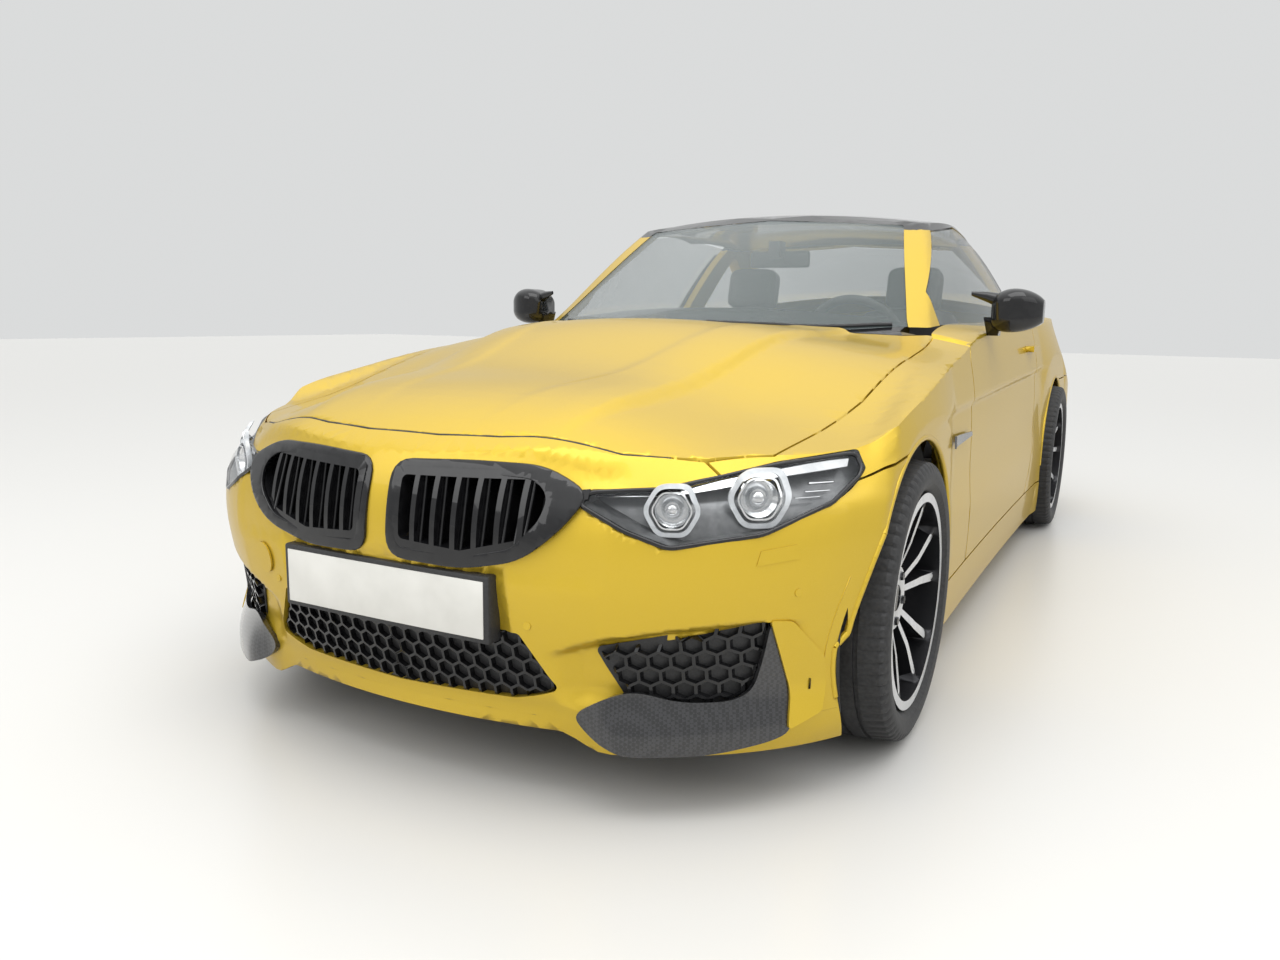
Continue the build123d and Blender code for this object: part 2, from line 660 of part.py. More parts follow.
# Quarters, boot lid, tail lights, sills, rear bumper
boot_space = plan_cut(boot_shares, gap) & sized(boot_gap_share)
tail_box = sized(tail_light_share)
tail_light = biggest((tail_outer - ring_lamp) & (rear_cut(tail_light_shares) & tail_box))
lamp_hole = rear_cut(tail_light_shares, seat_gap) & tail_box
boot_half = biggest(tail_skin & (plan_cut(boot_shares) & sized(boot_lid_share)))
boot_lamp = biggest(boot_half & rear_cut(boot_lamp_shares))
boot_half = biggest(boot_half - rear_cut(boot_lamp_shares, seat_gap))
quarter = biggest((tail_skin & side_cut(quarter_shares)) - boot_space - lamp_hole - green_void)
holes = [drum_y(x, z, *tip_hole_share, tip_radius + tip_gap) for x, z in tip_shares]
tail_low = (tail_skin & side_cut(rear_bumper_shares)) - lamp_hole
diffuser_half = biggest((tail_low & rear_cut(diffuser_shares)) - holes)
rear_bumper_half = biggest(tail_low - rear_cut(diffuser_shares, seat_gap))
sill = biggest(((body_outer & sized(sill_share)) - body_ring(sill_depth, 0)) - front_arch - rear_arch)
save(pair(quarter), "quarter_panels")
save(whole(boot_half), "boot_lid")
save(pair(boot_lamp), "boot_lamps")
save(pair(tail_light), "tail_lights")
save(whole(rear_bumper_half), "rear_bumper")
save(whole(diffuser_half), "diffuser")
save(pair(sill), "sills")

# Structure underneath: floor, rails, boot tub, wheel houses and subframes
floor_half = (sized(floor_share) & body_ring(sill_depth + seat_gap, 0)) + sized(tunnel_share)
front_half = joined(
    sized(firewall_share), sized(rail_share), sized(tower_share), sized(radiator_share), sized(beam_share)
)
tub_half = joined(
    sized(heel_share), sized(boot_floor_share), sized(inner_side_share),
    sized(seat_wall_share), sized(shelf_share),
)
house_out = out(house_share)
front_house = (
    drum(front_arch_depth, house_out, front_axle_y, front_tyre_radius, inner_arch_radius)
    - drum(front_arch_depth + liner, width, front_axle_y, front_tyre_radius, inner_arch_radius - liner)
)
rear_house = (
    drum(rear_arch_depth, house_out, rear_axle_y, rear_tyre_radius, arch_radius)
    - drum(rear_arch_depth + liner, width, rear_axle_y, rear_tyre_radius, arch_radius - liner)
)
above = slab(0, width, nose_y, -nose_y, up(house_low_share), height)
houses = apart([
    (front_house & above) - sized(house_window_share), (rear_house & above) - sized(rear_window_hole_share)
])
save(whole(floor_half), "floor_pan")
save(whole(front_half), "front_structure")
save(whole(tub_half), "boot_tub")
save(pair(houses), "wheel_houses")
engine = whole(sized(engine_share))
save(engine, "engine_block")

# Front suspension: arms on a subframe, and a knuckle between them that turns with the wheel
axle_share = front_overhang / length
upper_arm = bar(
    (tower_out_share, axle_share, upper_arm_share), (pivot_share, axle_share, upper_arm_share), arm_radius
)
front_frame = joined(sized(subframe_share), sized(post_share))
for start, end in arm_shares:
    front_frame = front_frame + bar(start, end, arm_radius)
save(apart([whole(front_frame), pair(upper_arm)]), "front_subframe")


def hub_carrier(x, y, z, side):
    """Upright with stub axle and brake caliper, x is the wheel's middle."""
    inner = x + side * upright_inset
    face = inner + side * upright_depth
    block = slab(inner, face, y - upright_half, y + upright_half, z - upright_reach, z + upright_reach)
    axle = drum(inner, x + side * stub_reach, y, z, stub_radius)
    clamp_x = x + side * disc_face
    clamp = slab(clamp_x - side * clamp_back, clamp_x + side * clamp_front, y - clamp_far, y - clamp_near,
                 z - clamp_half, z + clamp_half)
    groove_end = clamp_x + side * (disc_thickness + door_gap)
    groove = drum(clamp_x - side * door_gap, groove_end, y, z, disc_radius + door_gap)
    bracket = slab(inner, face, y - clamp_near - door_gap, y, z - bracket_half, z + bracket_half)
    return joined(block, axle, clamp - groove, bracket)


def knuckle(side):
    """Steered carrier with the two bosses between the arms."""
    x = side * front_track / 2
    carrier = hub_carrier(x, front_axle_y, front_tyre_radius, side)
    low = up(lower_arm_share) + arm_radius + seat_gap
    high = up(upper_arm_share) - arm_radius - seat_gap
    with BuildPart(Plane.XY.offset(low), mode=Mode.PRIVATE) as boss:
        with Locations((side * pivot_x, front_axle_y)):
            Cylinder(pivot_radius, high - low, align=(Align.CENTER, Align.CENTER, Align.MIN))
    return carrier + boss.part


save(knuckle(1), "knuckle_left")
save(knuckle(-1), "knuckle_right")
rear_half = joined(
    sized(rear_frame_share), sized(rear_post_share),
    *[bar(start, end, arm_radius) for start, end in rear_arm_shares],
    hub_carrier(rear_track / 2, rear_axle_y, rear_tyre_radius, 1),
)
save(whole(rear_half), "rear_subframe")


def tyre(x, y, z, tread, rim_width):
    """Tyre about its axle, radius z."""
    half = tread / 2
    seat = rim_width / 2 - flange_width - seat_gap
    edge = rim_radius + rim_flange + seat_gap
    with BuildPart(mode=Mode.PRIVATE) as ring:
        with BuildSketch(Plane.XY):
            with BuildLine():
                for way in (1, -1):
                    points = [(x + way * a, r) for a, r in (
                        (seat, rim_radius + seat_gap), (seat, edge), (half - tyre_tuck, edge + tyre_tuck),
                        (half, z - tyre_belly), (half - tyre_shoulder, z - tyre_drop), (0, z),
                    )]
                    Line(points[0], points[1])
                    Line(points[1], points[2])
                    ThreePointArc(points[2], points[3], points[4])
                    TangentArc(points[5], points[4], tangent=(way, 0))
                Line((x - seat, rim_radius + seat_gap), (x + seat, rim_radius + seat_gap))
            make_face()
        revolve(axis=Axis.X)
    return ring.part.moved(Location((0, y, z)))


def rim(x, y, z, wide, side):
    """Rim with five forked spokes and the hub bore."""
    half = wide / 2
    barrel = turned((
        (-half, rim_radius + rim_flange), (-half, rim_radius - rim_wall), (half, rim_radius - rim_wall),
        (half, rim_radius + rim_flange), (half - flange_width, rim_radius + rim_flange),
        (half - flange_width, rim_radius), (flange_width - half, rim_radius),
        (flange_width - half, rim_radius + rim_flange),
    ), x, y, z, side)
    bore = stub_radius + bore_clearance
    depth = rim_radius - bore
    dish = turned([(hub_face + wide * a, bore + depth * r) for a, r in dish_shares], x, y, z, side)
    with BuildPart(mode=Mode.PRIVATE) as star:
        with BuildSketch(Plane.YZ.offset(x)):
            with Locations((y, z)):
                Circle(hub_radius)
                for turn in range(spoke_count):
                    for way in (1, -1):
                        leg = [
                            (rim_radius * r * cos(radians(angle)), way * rim_radius * r * sin(radians(angle)))
                            for r, angle in spoke_shares
                        ]
                        spoke_angle = spoke_start + full_turn / spoke_count * turn
                        with Locations(Location((0, 0, 0), (0, 0, spoke_angle))):
                            Polygon(*leg, align=None)
                Circle(bore, mode=Mode.SUBTRACT)
        extrude(amount=side * half)
    return barrel + (star.part & dish)


def disc(x, y, z, side):
    """Brake disc with its hat behind the rim."""
    bore = stub_radius + bore_clearance
    hat_face = hub_face - seat_gap
    hat_back = hat_face - rim_wall
    hat_inside = disc_hat_radius - rim_wall
    disc_front = disc_face + disc_thickness
    return turned((
        (disc_face, disc_radius), (disc_face, hat_inside), (hat_back, hat_inside), (hat_back, bore),
        (hat_face, bore), (hat_face, disc_hat_radius), (disc_front, disc_hat_radius), (disc_front, disc_radius),
    ), x, y, z, side)


wheels = (
    ("front_left", 1, front_track / 2, front_axle_y, front_tyre_radius),
    ("front_right", -1, front_track / 2, front_axle_y, front_tyre_radius),
    ("rear_left", 1, rear_track / 2, rear_axle_y, rear_tyre_radius),
    ("rear_right", -1, rear_track / 2, rear_axle_y, rear_tyre_radius),
)
for name, side, half_track, y, z in wheels:
    x = side * half_track
    tread, wide = (front_tyre_width, front_rim_width) if y < 0 else (rear_tyre_width, rear_rim_width)
    save(tyre(x, y, z, tread, wide), f"tyre_{name}")
    save(rim(x, y, z, wide, side), f"rim_{name}")
    save(disc(x, y, z, side), f"brake_disc_{name}")

# Exhaust and cabin
tips = [
    drum_y(x, z, *tip_run_share, tip_radius) - drum_y(x, z, *tip_bore_share, tip_radius - liner)
    for x, z in tip_shares
]
pipes = [bar(start, end, pipe_radius) for start, end in pipe_shares]
save(whole(joined(sized(muffler_share), *tips, *pipes)), "exhaust")
seat = profile(seat_shares, *seat_sides_share) + profile(headrest_shares, *headrest_sides_share)
save(pair(seat), "front_seats")
save(whole(profile(rear_seat_shares, 0, rear_seat_half_share)), "rear_seat")
steer_x, steer_y, steer_z = steering_share
wheel_plane = Plane(
    origin=(out(steer_x), along(steer_y), up(steer_z)),
    x_dir=(1, 0, 0),
    z_dir=(0, cos(radians(column_angle)), sin(radians(column_angle))),
)
with BuildPart(wheel_plane) as steering_wheel:
    with BuildSketch(wheel_plane):
        Circle(wheel_radius - grip_radius)
        Circle(wheel_radius - 2 * grip_radius, mode=Mode.SUBTRACT)
    Torus(wheel_radius - grip_radius, grip_radius)
    with BuildSketch(wheel_plane.offset(-grip_radius)):
        Circle(wheel_hub_radius)
        Rectangle(2 * wheel_radius - 2 * grip_radius, 2 * grip_radius)
    extrude(amount=2 * grip_radius)
    with BuildSketch(wheel_plane.offset(-2 * grip_radius)):
        Circle(pipe_radius + bore_clearance)
    extrude(amount=2 * grip_radius, mode=Mode.SUBTRACT)
save(steering_wheel.part, "steering_wheel")
with BuildPart() as column:
    with BuildSketch(wheel_plane.offset(-column_length)):
        Circle(pipe_radius)
    extrude(amount=column_length - bore_clearance)
save(column.part, "steering_column")
with BuildPart() as column_hole:
    with BuildSketch(wheel_plane.offset(-column_length - liner)):
        Circle(pipe_radius + seat_gap)
    extrude(amount=column_length)
save(whole(profile(dashboard_shares, 0, dashboard_half_share)) - column_hole.part, "dashboard")
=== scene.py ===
# Two-door sports coupe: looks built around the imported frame. Metres, nose towards -Y, left side +X.
import bpy
import bmesh
import json
import math
from mathutils import Matrix, Vector
from mathutils.bvhtree import BVHTree


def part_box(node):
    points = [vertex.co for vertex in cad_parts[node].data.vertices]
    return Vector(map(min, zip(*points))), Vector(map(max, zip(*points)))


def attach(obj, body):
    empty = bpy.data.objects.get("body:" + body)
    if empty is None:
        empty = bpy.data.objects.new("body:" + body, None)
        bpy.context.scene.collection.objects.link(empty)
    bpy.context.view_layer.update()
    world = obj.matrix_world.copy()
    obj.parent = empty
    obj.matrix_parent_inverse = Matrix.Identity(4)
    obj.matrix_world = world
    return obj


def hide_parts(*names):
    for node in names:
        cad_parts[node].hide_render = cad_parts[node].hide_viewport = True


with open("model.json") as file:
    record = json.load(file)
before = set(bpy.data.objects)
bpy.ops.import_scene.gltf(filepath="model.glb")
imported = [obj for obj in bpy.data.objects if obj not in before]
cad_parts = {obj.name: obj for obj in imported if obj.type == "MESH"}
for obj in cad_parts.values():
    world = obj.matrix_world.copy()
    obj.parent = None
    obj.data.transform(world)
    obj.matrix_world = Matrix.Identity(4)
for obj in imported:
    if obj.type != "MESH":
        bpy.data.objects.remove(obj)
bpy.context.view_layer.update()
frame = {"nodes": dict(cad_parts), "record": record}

noseY = -2.3355  # front end of the car; a value called d or "back" runs rearwards from it
farOff = 3.0  # rays that read the body's surface start this far outside it
sideSpare, slotSpare = 0.9, 0.88  # half widths taken where such a ray from the side misses
wheelNames = ("front_left", "front_right", "rear_left", "rear_right")


def report(stage):
    print("stage:", stage)


# camera, floor, walls and lamps
view = {
    "place": (1.3691, -3.7675, 0.9736), "turn": 28.254, "down": 9.55, "roll": 0.811, "lens": 27.45,
    "sensor": 36,
    "floor": (0.60, 0.59, 0.57), "floorRough": 0.32, "floorHalf": 30, "wall": (0.82, 0.83, 0.83),
    "horizon": 0.86, "zenith": 2.15, "rise": (0.30, 0.85),
    "lamps": (("lampTop", (1.5, -2.5, 6.0), (0, -0.5, 0), 140, 6.0),
              ("lampSide", (6.0, -2.5, 3.5), (0, 0, 0.5), 30, 5.0),
              ("lampFront", (-2.5, -7.0, 3.5), (0, -1.5, 0.5), 80, 5.0)),
    "lampDepth": 0.6,
}


def setCamera():
    camera = bpy.data.objects.new("camera", bpy.data.cameras.new("camera"))
    bpy.context.scene.collection.objects.link(camera)
    camera.data.lens, camera.data.sensor_width = view["lens"], view["sensor"]
    turn, down, roll = (math.radians(view[k]) for k in ("turn", "down", "roll"))
    ahead = Vector((-math.sin(turn) * math.cos(down), math.cos(turn) * math.cos(down), -math.sin(down)))
    right = ahead.cross(Vector((0, 0, 1))).normalized()
    top = right.cross(ahead)
    right, top = math.cos(roll) * right + math.sin(roll) * top, math.cos(roll) * top - math.sin(roll) * right
    turnMatrix = Matrix((right, top, -ahead)).transposed().to_4x4()
    camera.matrix_world = Matrix.Translation(view["place"]) @ turnMatrix
    bpy.context.scene.camera = camera


def softLamp(name, place, aim, power, size):
    lamp = bpy.data.objects.new(name, bpy.data.lights.new(name, "AREA"))
    bpy.context.scene.collection.objects.link(lamp)
    lamp.data.energy, lamp.data.shape = power, "RECTANGLE"
    lamp.data.size, lamp.data.size_y = size, size * view["lampDepth"]
    lie = (Vector(place) - Vector(aim)).to_track_quat("Z", "Y").to_matrix().to_4x4()
    lamp.matrix_world = Matrix.Translation(place) @ lie


def paleGround():
    bm = bmesh.new()
    bmesh.ops.create_grid(bm, x_segments=1, y_segments=1, size=view["floorHalf"])
    ground = bpy.data.objects.new("floor", bpy.data.meshes.new("floor"))
    bm.to_mesh(ground.data)
    bm.free()
    bpy.context.scene.collection.objects.link(ground)
    ground.data.materials.append(plainMaterial("floorPale", view["floor"], view["floorRough"]))


def paleStudio():
    # walls as bright as the photograph's, and a brighter ceiling over them
    world = bpy.data.worlds.new("studio")
    world.use_nodes = True
    add, join, background = nodeTools(world, "Background")
    fill(background, {"Color": (*view["wall"], 1)})
    low, high = view["rise"]
    parts = add("SeparateXYZ")
    height = add("MapRange", {"From Min": low, "From Max": high,
                              "To Min": view["horizon"], "To Max": view["zenith"]})
    join(add("TexCoord"), "Generated", parts, "Vector")
    join(parts, "Z", height, "Value")
    join(height, "Result", background, "Strength")
    bpy.context.scene.world = world


# materials
def fill(node, values):
    for name, value in values.items():
        node.inputs[name].default_value = value
    return node


def nodeTools(owner, last="Principled BSDF"):
    # add makes a node with its settings and inputs, join links an output to an input
    nodes, links = owner.node_tree.nodes, owner.node_tree.links

    def add(kind, values={}, **settings):
        made = nodes.new("ShaderNode" + kind)
        for name, value in settings.items():
            setattr(made, name, value)
        return fill(made, values)

    def join(source, output, target, socket):
        links.new(source.outputs[output], target.inputs[socket])

    return add, join, nodes[last]


def ramp(add, first, last, spread=(0, 1)):
    made = add("ValToRGB")
    for element, colour, place in zip(made.color_ramp.elements, (first, last), spread):
        element.color, element.position = (*colour, 1), place
    return made


def plainMaterial(name, colour, rough, metal=0.0):
    mat = bpy.data.materials.new(name)
    mat.use_nodes = True
    shader = mat.node_tree.nodes["Principled BSDF"]
    fill(shader, {"Base Color": (*colour, 1), "Roughness": rough, "Metallic": metal})
    return mat


mottledLook = {"detail": 3.0, "spread": (0.35, 0.65), "dent": 0.0008}


def mottled(name, colour, second, scale, rough, metal=0.0, bump=0.0):
    # colour shifts to second with noise, and the same noise gives a fine bump
    mat = plainMaterial(name, colour, rough, metal)
    add, join, shader = nodeTools(mat)
    noise = add("TexNoise", {"Scale": scale, "Detail": mottledLook["detail"]})
    tone = ramp(add, colour, second, mottledLook["spread"])
    join(add("TexCoord"), "Object", noise, "Vector")
    join(noise, "Fac", tone, "Fac")
    join(tone, "Color", shader, "Base Color")
    if bump:
        dents = add("Bump", {"Strength": bump, "Distance": mottledLook["dent"]})
        join(noise, "Fac", dents, "Height")
        join(dents, "Normal", shader, "Normal")
    return mat


paintLook = {
    "deep": (0.34, 0.225, 0.012), "bright": (0.62, 0.42, 0.024), "edge": (0.86, 0.66, 0.14), "sparkle": 0.16,
    "flakes": 2200, "metal": 0.42, "rough": 0.36, "coat": 0.35, "coatRough": 0.03, "tint": (1.0, 0.80, 0.42),
    "slant": 0.35,
}


def carPaint():
    mat = plainMaterial("goldPaint", paintLook["bright"], paintLook["rough"], paintLook["metal"])
    add, join, shader = nodeTools(mat)
    fill(shader, {"Coat Weight": paintLook["coat"], "Coat Roughness": paintLook["coatRough"],
                  "Specular Tint": (*paintLook["tint"], 1)})
    facing = add("LayerWeight", {"Blend": paintLook["slant"]})
    blend = ramp(add, paintLook["bright"], paintLook["deep"])
    flake = add("TexVoronoi", {"Scale": paintLook["flakes"]})
    share = add("Math", {1: paintLook["sparkle"]}, operation="MULTIPLY")
    sparkle = add("Mix", {"B": (*paintLook["edge"], 1)}, data_type="RGBA")
    join(facing, "Facing", blend, "Fac")
    join(add("TexCoord"), "Object", flake, "Vector")
    join(flake, "Color", share, 0)
    join(share, 0, sparkle, "Factor")
    join(blend, "Color", sparkle, "A")
    join(sparkle, "Result", shader, "Base Color")
    return mat


carbonLook = {
    "base": (0.02, 0.02, 0.022), "rough": 0.32, "metal": 0.3, "coat": 1.0, "coatRough": 0.04,
    "weave": 150, "dark": (0.012, 0.012, 0.013), "light": (0.030, 0.030, 0.033), "twist": (0.7, 0.7, 0.78),
}


def carbonWeave():
    mat = plainMaterial("carbonWeave", carbonLook["base"], carbonLook["rough"], carbonLook["metal"])
    add, join, shader = nodeTools(mat)
    fill(shader, {"Coat Weight": carbonLook["coat"], "Coat Roughness": carbonLook["coatRough"]})
    weave = add("TexChecker", {"Scale": carbonLook["weave"], "Color1": (*carbonLook["dark"], 1),
                               "Color2": (*carbonLook["light"], 1)})
    twist = add("Mapping", {"Rotation": carbonLook["twist"]})
    join(add("TexCoord"), "Object", twist, "Vector")
    join(twist, "Vector", weave, "Vector")
    join(weave, "Color", shader, "Base Color")
    return mat


glassLook = {"rough": 0.02, "coat": 1.0, "coatRough": 0.01, "slant": 0.38, "haze": 3.0, "shade": 0.9}


def clearGlass(name, tint, low, high):
    # see-through straight on, more and more mirror-like at a slant
    mat = plainMaterial(name, tint, glassLook["rough"])
    add, join, shader = nodeTools(mat)
    fill(shader, {"Coat Weight": glassLook["coat"], "Coat Roughness": glassLook["coatRough"]})
    slant = add("LayerWeight", {"Blend": glassLook["slant"]})
    cover = add("MapRange", {"To Min": low, "To Max": high})
    haze = add("TexNoise", {"Scale": glassLook["haze"]})
    tone = ramp(add, tint, [c * glassLook["shade"] for c in tint])
    join(slant, "Facing", cover, "Value")
    join(cover, "Result", shader, "Alpha")
    join(add("TexCoord"), "Object", haze, "Vector")
    join(haze, "Fac", tone, "Fac")
    join(tone, "Color", shader, "Base Color")
    return mat


rimLook = {
    "base": (0.03, 0.03, 0.033), "rough": 0.3, "metal": 0.6, "faces": (0.90, 0.93), "grain": 90,
    "lacquer": (0.028, 0.028, 0.031), "silver": ((0.50, 0.51, 0.52), (0.72, 0.72, 0.73)),
}


def twoToneRim():
    # machined silver where a face looks out of the wheel, dark lacquer elsewhere
    mat = plainMaterial("twoToneRim", rimLook["base"], rimLook["rough"], rimLook["metal"])
    add, join, shader = nodeTools(mat)
    place, parts = add("TexCoord"), add("SeparateXYZ")
    size = add("Math", operation="ABSOLUTE")
    mask = ramp(add, (0, 0, 0), (1, 1, 1), rimLook["faces"])
    grain = add("TexNoise", {"Scale": rimLook["grain"]})
    silver = ramp(add, *rimLook["silver"])
    tone = add("Mix", {"A": (*rimLook["lacquer"], 1)}, data_type="RGBA")
    join(place, "Normal", parts, "Vector")
    join(parts, "X", size, 0)
    join(size, 0, mask, "Fac")
    join(place, "Object", grain, "Vector")
    join(grain, "Fac", silver, "Fac")
    join(mask, "Color", tone, "Factor")
    join(silver, "Color", tone, "B")
    join(tone, "Result", shader, "Base Color")
    return mat


# name, two colours, scale of the noise, roughness, then metal and bump where a finish has them
mats = {
    "paint": carPaint(),
    "carbon": carbonWeave(),
    "gloss": mottled("glossBlack", (0.006, 0.006, 0.007), (0.011, 0.011, 0.012), 40, 0.08),
    "matt": mottled("mattPlastic", (0.016, 0.016, 0.017), (0.026, 0.026, 0.027), 260, 0.55, bump=0.25),
    "glass": clearGlass("paleGlass", (0.16, 0.20, 0.20), low=0.06, high=0.52),
    "lens": clearGlass("lampLens", (0.30, 0.32, 0.34), low=0.02, high=0.30),
    "tray": mottled("lampTrayGrey", (0.15, 0.155, 0.16), (0.21, 0.215, 0.22), 60, 0.3, metal=0.5),
    "red": mottled("redLens", (0.32, 0.006, 0.008), (0.45, 0.012, 0.012), 60, 0.08),
    "chrome": mottled("brightTrim", (0.62, 0.63, 0.64), (0.74, 0.75, 0.76), 30, 0.14, metal=1.0),
    "darkChrome": mottled("darkTrim", (0.10, 0.10, 0.105), (0.15, 0.15, 0.155), 30, 0.2, metal=1.0),
    "rubber": mottled("tyreRubber", (0.014, 0.014, 0.015), (0.028, 0.028, 0.029), 120, 0.62, bump=0.3),
    "rim": twoToneRim(),
    "disc": mottled("brakeSteel", (0.30, 0.30, 0.31), (0.42, 0.42, 0.43), 70, 0.32, metal=1.0, bump=0.2),
    "iron": mottled("castIron", (0.07, 0.07, 0.072), (0.13, 0.13, 0.135), 90, 0.6, metal=0.4, bump=0.5),
    "primer": mottled("underPrimer", (0.028, 0.028, 0.03), (0.045, 0.045, 0.047), 25, 0.6, bump=0.2),
    "leather": mottled("darkLeather", (0.022, 0.021, 0.021), (0.036, 0.034, 0.034), 420, 0.48, bump=0.6),
    "steel": mottled("exhaustSteel", (0.42, 0.42, 0.43), (0.58, 0.58, 0.59), 45, 0.25, metal=1.0, bump=0.15),
    "plate": mottled("blankPlate", (0.62, 0.61, 0.57), (0.70, 0.69, 0.65), 9, 0.4),
    "glow": mottled("lampRing", (0.46, 0.48, 0.50), (0.60, 0.62, 0.64), 50, 0.25),
}

nodeLooks = {
    "paint": ("bonnet", "front_fenders", "front_bumper", "door_left", "door_right", "quarter_panels",
              "boot_lid", "rear_bumper", "sills", "handle_left", "handle_right", "roof_frame",
              "front_splitter"),
    "carbon": ("roof_panel", "diffuser"),
    "gloss": ("kidney_grilles", "mirror_left", "mirror_right", "cowl"),
    "matt": ("intake_meshes", "wheel_houses", "dashboard", "steering_column", "steering_wheel"),
    "glass": ("windscreen", "rear_window", "quarter_windows", "door_glass_left", "door_glass_right"),
    "red": ("tail_lights", "boot_lamps"),
    "lens": ("headlights",),
    "primer": ("floor_pan", "front_structure", "boot_tub"),
    "iron": ("engine_block", "front_subframe", "rear_subframe", "knuckle_left", "knuckle_right"),
    "steel": ("exhaust",),
    "rim": tuple("rim_" + w for w in wheelNames),
    "disc": tuple("brake_disc_" + w for w in wheelNames),
}
slotOf = {s["node"]: s["material_slot"] for s in frame["record"]["subparts"]}
bodyOf = {n: b for b, group in frame["record"]["behaviour"]["bodies"].items() for n in group}


def addPiece(name, bm, look, body, slot=None, smooth=35):
    shape = bpy.data.meshes.new(name)
    bm.to_mesh(shape)
    bm.free()
    piece = bpy.data.objects.new(name, shape)
    bpy.context.scene.collection.objects.link(piece)
    piece.data.materials.append(mats[look])
    for face in shape.polygons:
        face.use_smooth = True
    shape.set_sharp_from_angle(angle=math.radians(smooth))
    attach(piece, body)
    return piece


# small sums used all over
def ease(value, start, end):
    # 0 before start, 1 after end, smooth between
    t = min(1.0, max(0.0, (value - start) / (end - start)))
    return t * t * (3 - 2 * t)


def fade(value, start, end):
    return 1 - ease(value, start, end)


def band(value, low, risen, falling, high):
    return ease(value, low, risen) * fade(value, falling, high)


def follow(points, at):
    # height of a broken line of points at a place along it
    if at <= points[0][0]:
        return points[0][1]
    for (a, p), (b, q) in zip(points, points[1:]):
        if at <= b:
            return p + (q - p) * (at - a) / (b - a)
    return points[-1][1]


def steps(start, end, count):
    return [start + (end - start) * n / count for n in range(count + 1)]


def cutAcross(bm, axis, places, near=0.0):
    # slices everything by planes square to one axis
    normal = Vector([float(a == axis) for a in range(3)])
    for place in places:
        everything = bm.verts[:] + bm.edges[:] + bm.faces[:]
        bmesh.ops.bisect_plane(bm, geom=everything, plane_co=normal * place, plane_no=normal, dist=near)


def newVerts(made):
    return [g for g in made["geom"] if isinstance(g, bmesh.types.BMVert)]


def loopEdges(made):
    return list(dict.fromkeys(e for v in made["verts"] for e in v.link_edges))


# pressed lines in the painted panels
bonnetLook = {
    "crease": [(0.10, 0.335), (0.60, 0.400), (1.10, 0.455), (1.65, 0.520)], "rise": 0.015, "blend": 0.015,
    "inner": [(0.10, 0.150), (0.60, 0.225), (1.10, 0.300), (1.65, 0.360)], "dip": 0.004, "innerBlend": 0.02,
    "grow": (0.08, 0.45),
}
bumperLook = {
    "fold": [(0.36, 0.325), (0.384, 0.336), (0.482, 0.373), (0.60, 0.392), (0.722, 0.403), (0.751, 0.397)],
    "foldAcross": (0.36, 0.42, 0.74, 0.80), "foldSoft": 0.010, "foldLow": (0.20, 0.26),
    "foldBack": (0.28, 0.40), "recess": 0.026,
    "chin": 0.030, "chinHeight": (0.155, 0.250), "chinAcross": (0.36, 0.46), "lipLift": 0.038,
    "plateSeat": 0.012, "plateHeight": (0.325, 0.340, 0.488, 0.500), "plateAcross": (0.276, 0.300),
    "plateBack": (0.10, 0.20),
    "grilleSeat": 0.006, "grilleHeight": (0.470, 0.488, 0.700, 0.720), "grilleAcross": (0.455, 0.500),
    "grilleBack": (0.20, 0.30),
}
sideLine = {
    "line": [(-2.0, 0.700), (-1.2, 0.745), (0.5, 0.775), (1.2, 0.800), (2.2, 0.815)], "cut": 0.011,
    "edge": 0.030, "height": (0.40, 0.56), "along": (-1.45, -1.10, 0.75, 1.05), "outside": 0.70,
}
dropLook = {
    "deep": 0.042, "across": (0.28, 0.60), "height": (0.60, 0.70), "inner": (0.55, 1.30),
    "outer": (0.35, 0.75), "side": (0.78, 0.88),
}
headerLook = {"low": 1.285, "half": 0.62}


def noseDrop(x, y, z):
    # the nose's outer top edge lies lower than the frame's, fading out rearwards
    across, d = abs(x), y - noseY
    side = ease(across, *dropLook["side"])
    start, end = (a + (b - a) * side for a, b in zip(dropLook["inner"], dropLook["outer"]))
    outward = ease(across, *dropLook["across"]) * ease(z, *dropLook["height"])
    return dropLook["deep"] * outward * fade(d, start, end)


def asIs(x, y, z):
    return Vector((x, y, z))


def lowered(x, y, z):
    return Vector((x, y, z - noseDrop(x, y, z)))


def bonnetShape(x, y, z):
    d, across = y - noseY, abs(x)
    crease, inner = follow(bonnetLook["crease"], d), follow(bonnetLook["inner"], d)
    wide, narrow = bonnetLook["blend"], bonnetLook["innerBlend"]
    lift = bonnetLook["rise"] * fade(across, crease - wide, crease + wide)
    lift -= bonnetLook["dip"] * fade(across, inner - narrow, inner + narrow)
    return Vector((x, y, z + lift * ease(d, *bonnetLook["grow"]) - noseDrop(x, y, z)))


def bumperShape(x, y, z):
    across, d = abs(x), y - noseY
    lift = bumperLook["chin"] * fade(z, *bumperLook["chinHeight"]) * fade(across, *bumperLook["chinAcross"])
    under = follow(bumperLook["fold"], across) - z
    fold = band(across, *bumperLook["foldAcross"]) * ease(under, 0.0, bumperLook["foldSoft"])
    fold *= ease(z, *bumperLook["foldLow"]) * fade(d, *bumperLook["foldBack"])
    deep = bumperLook["recess"] * fold
    for seat in ("plate", "grille"):
        flat = band(z, *bumperLook[seat + "Height"]) * fade(across, *bumperLook[seat + "Across"])
        deep += bumperLook[seat + "Seat"] * flat * fade(d, *bumperLook[seat + "Back"])
    return Vector((x, y + deep, z + lift - noseDrop(x, y, z)))


def splitterShape(x, y, z):
    return Vector((x, y, z + bumperLook["lipLift"] * fade(abs(x), *bumperLook["chinAcross"])))


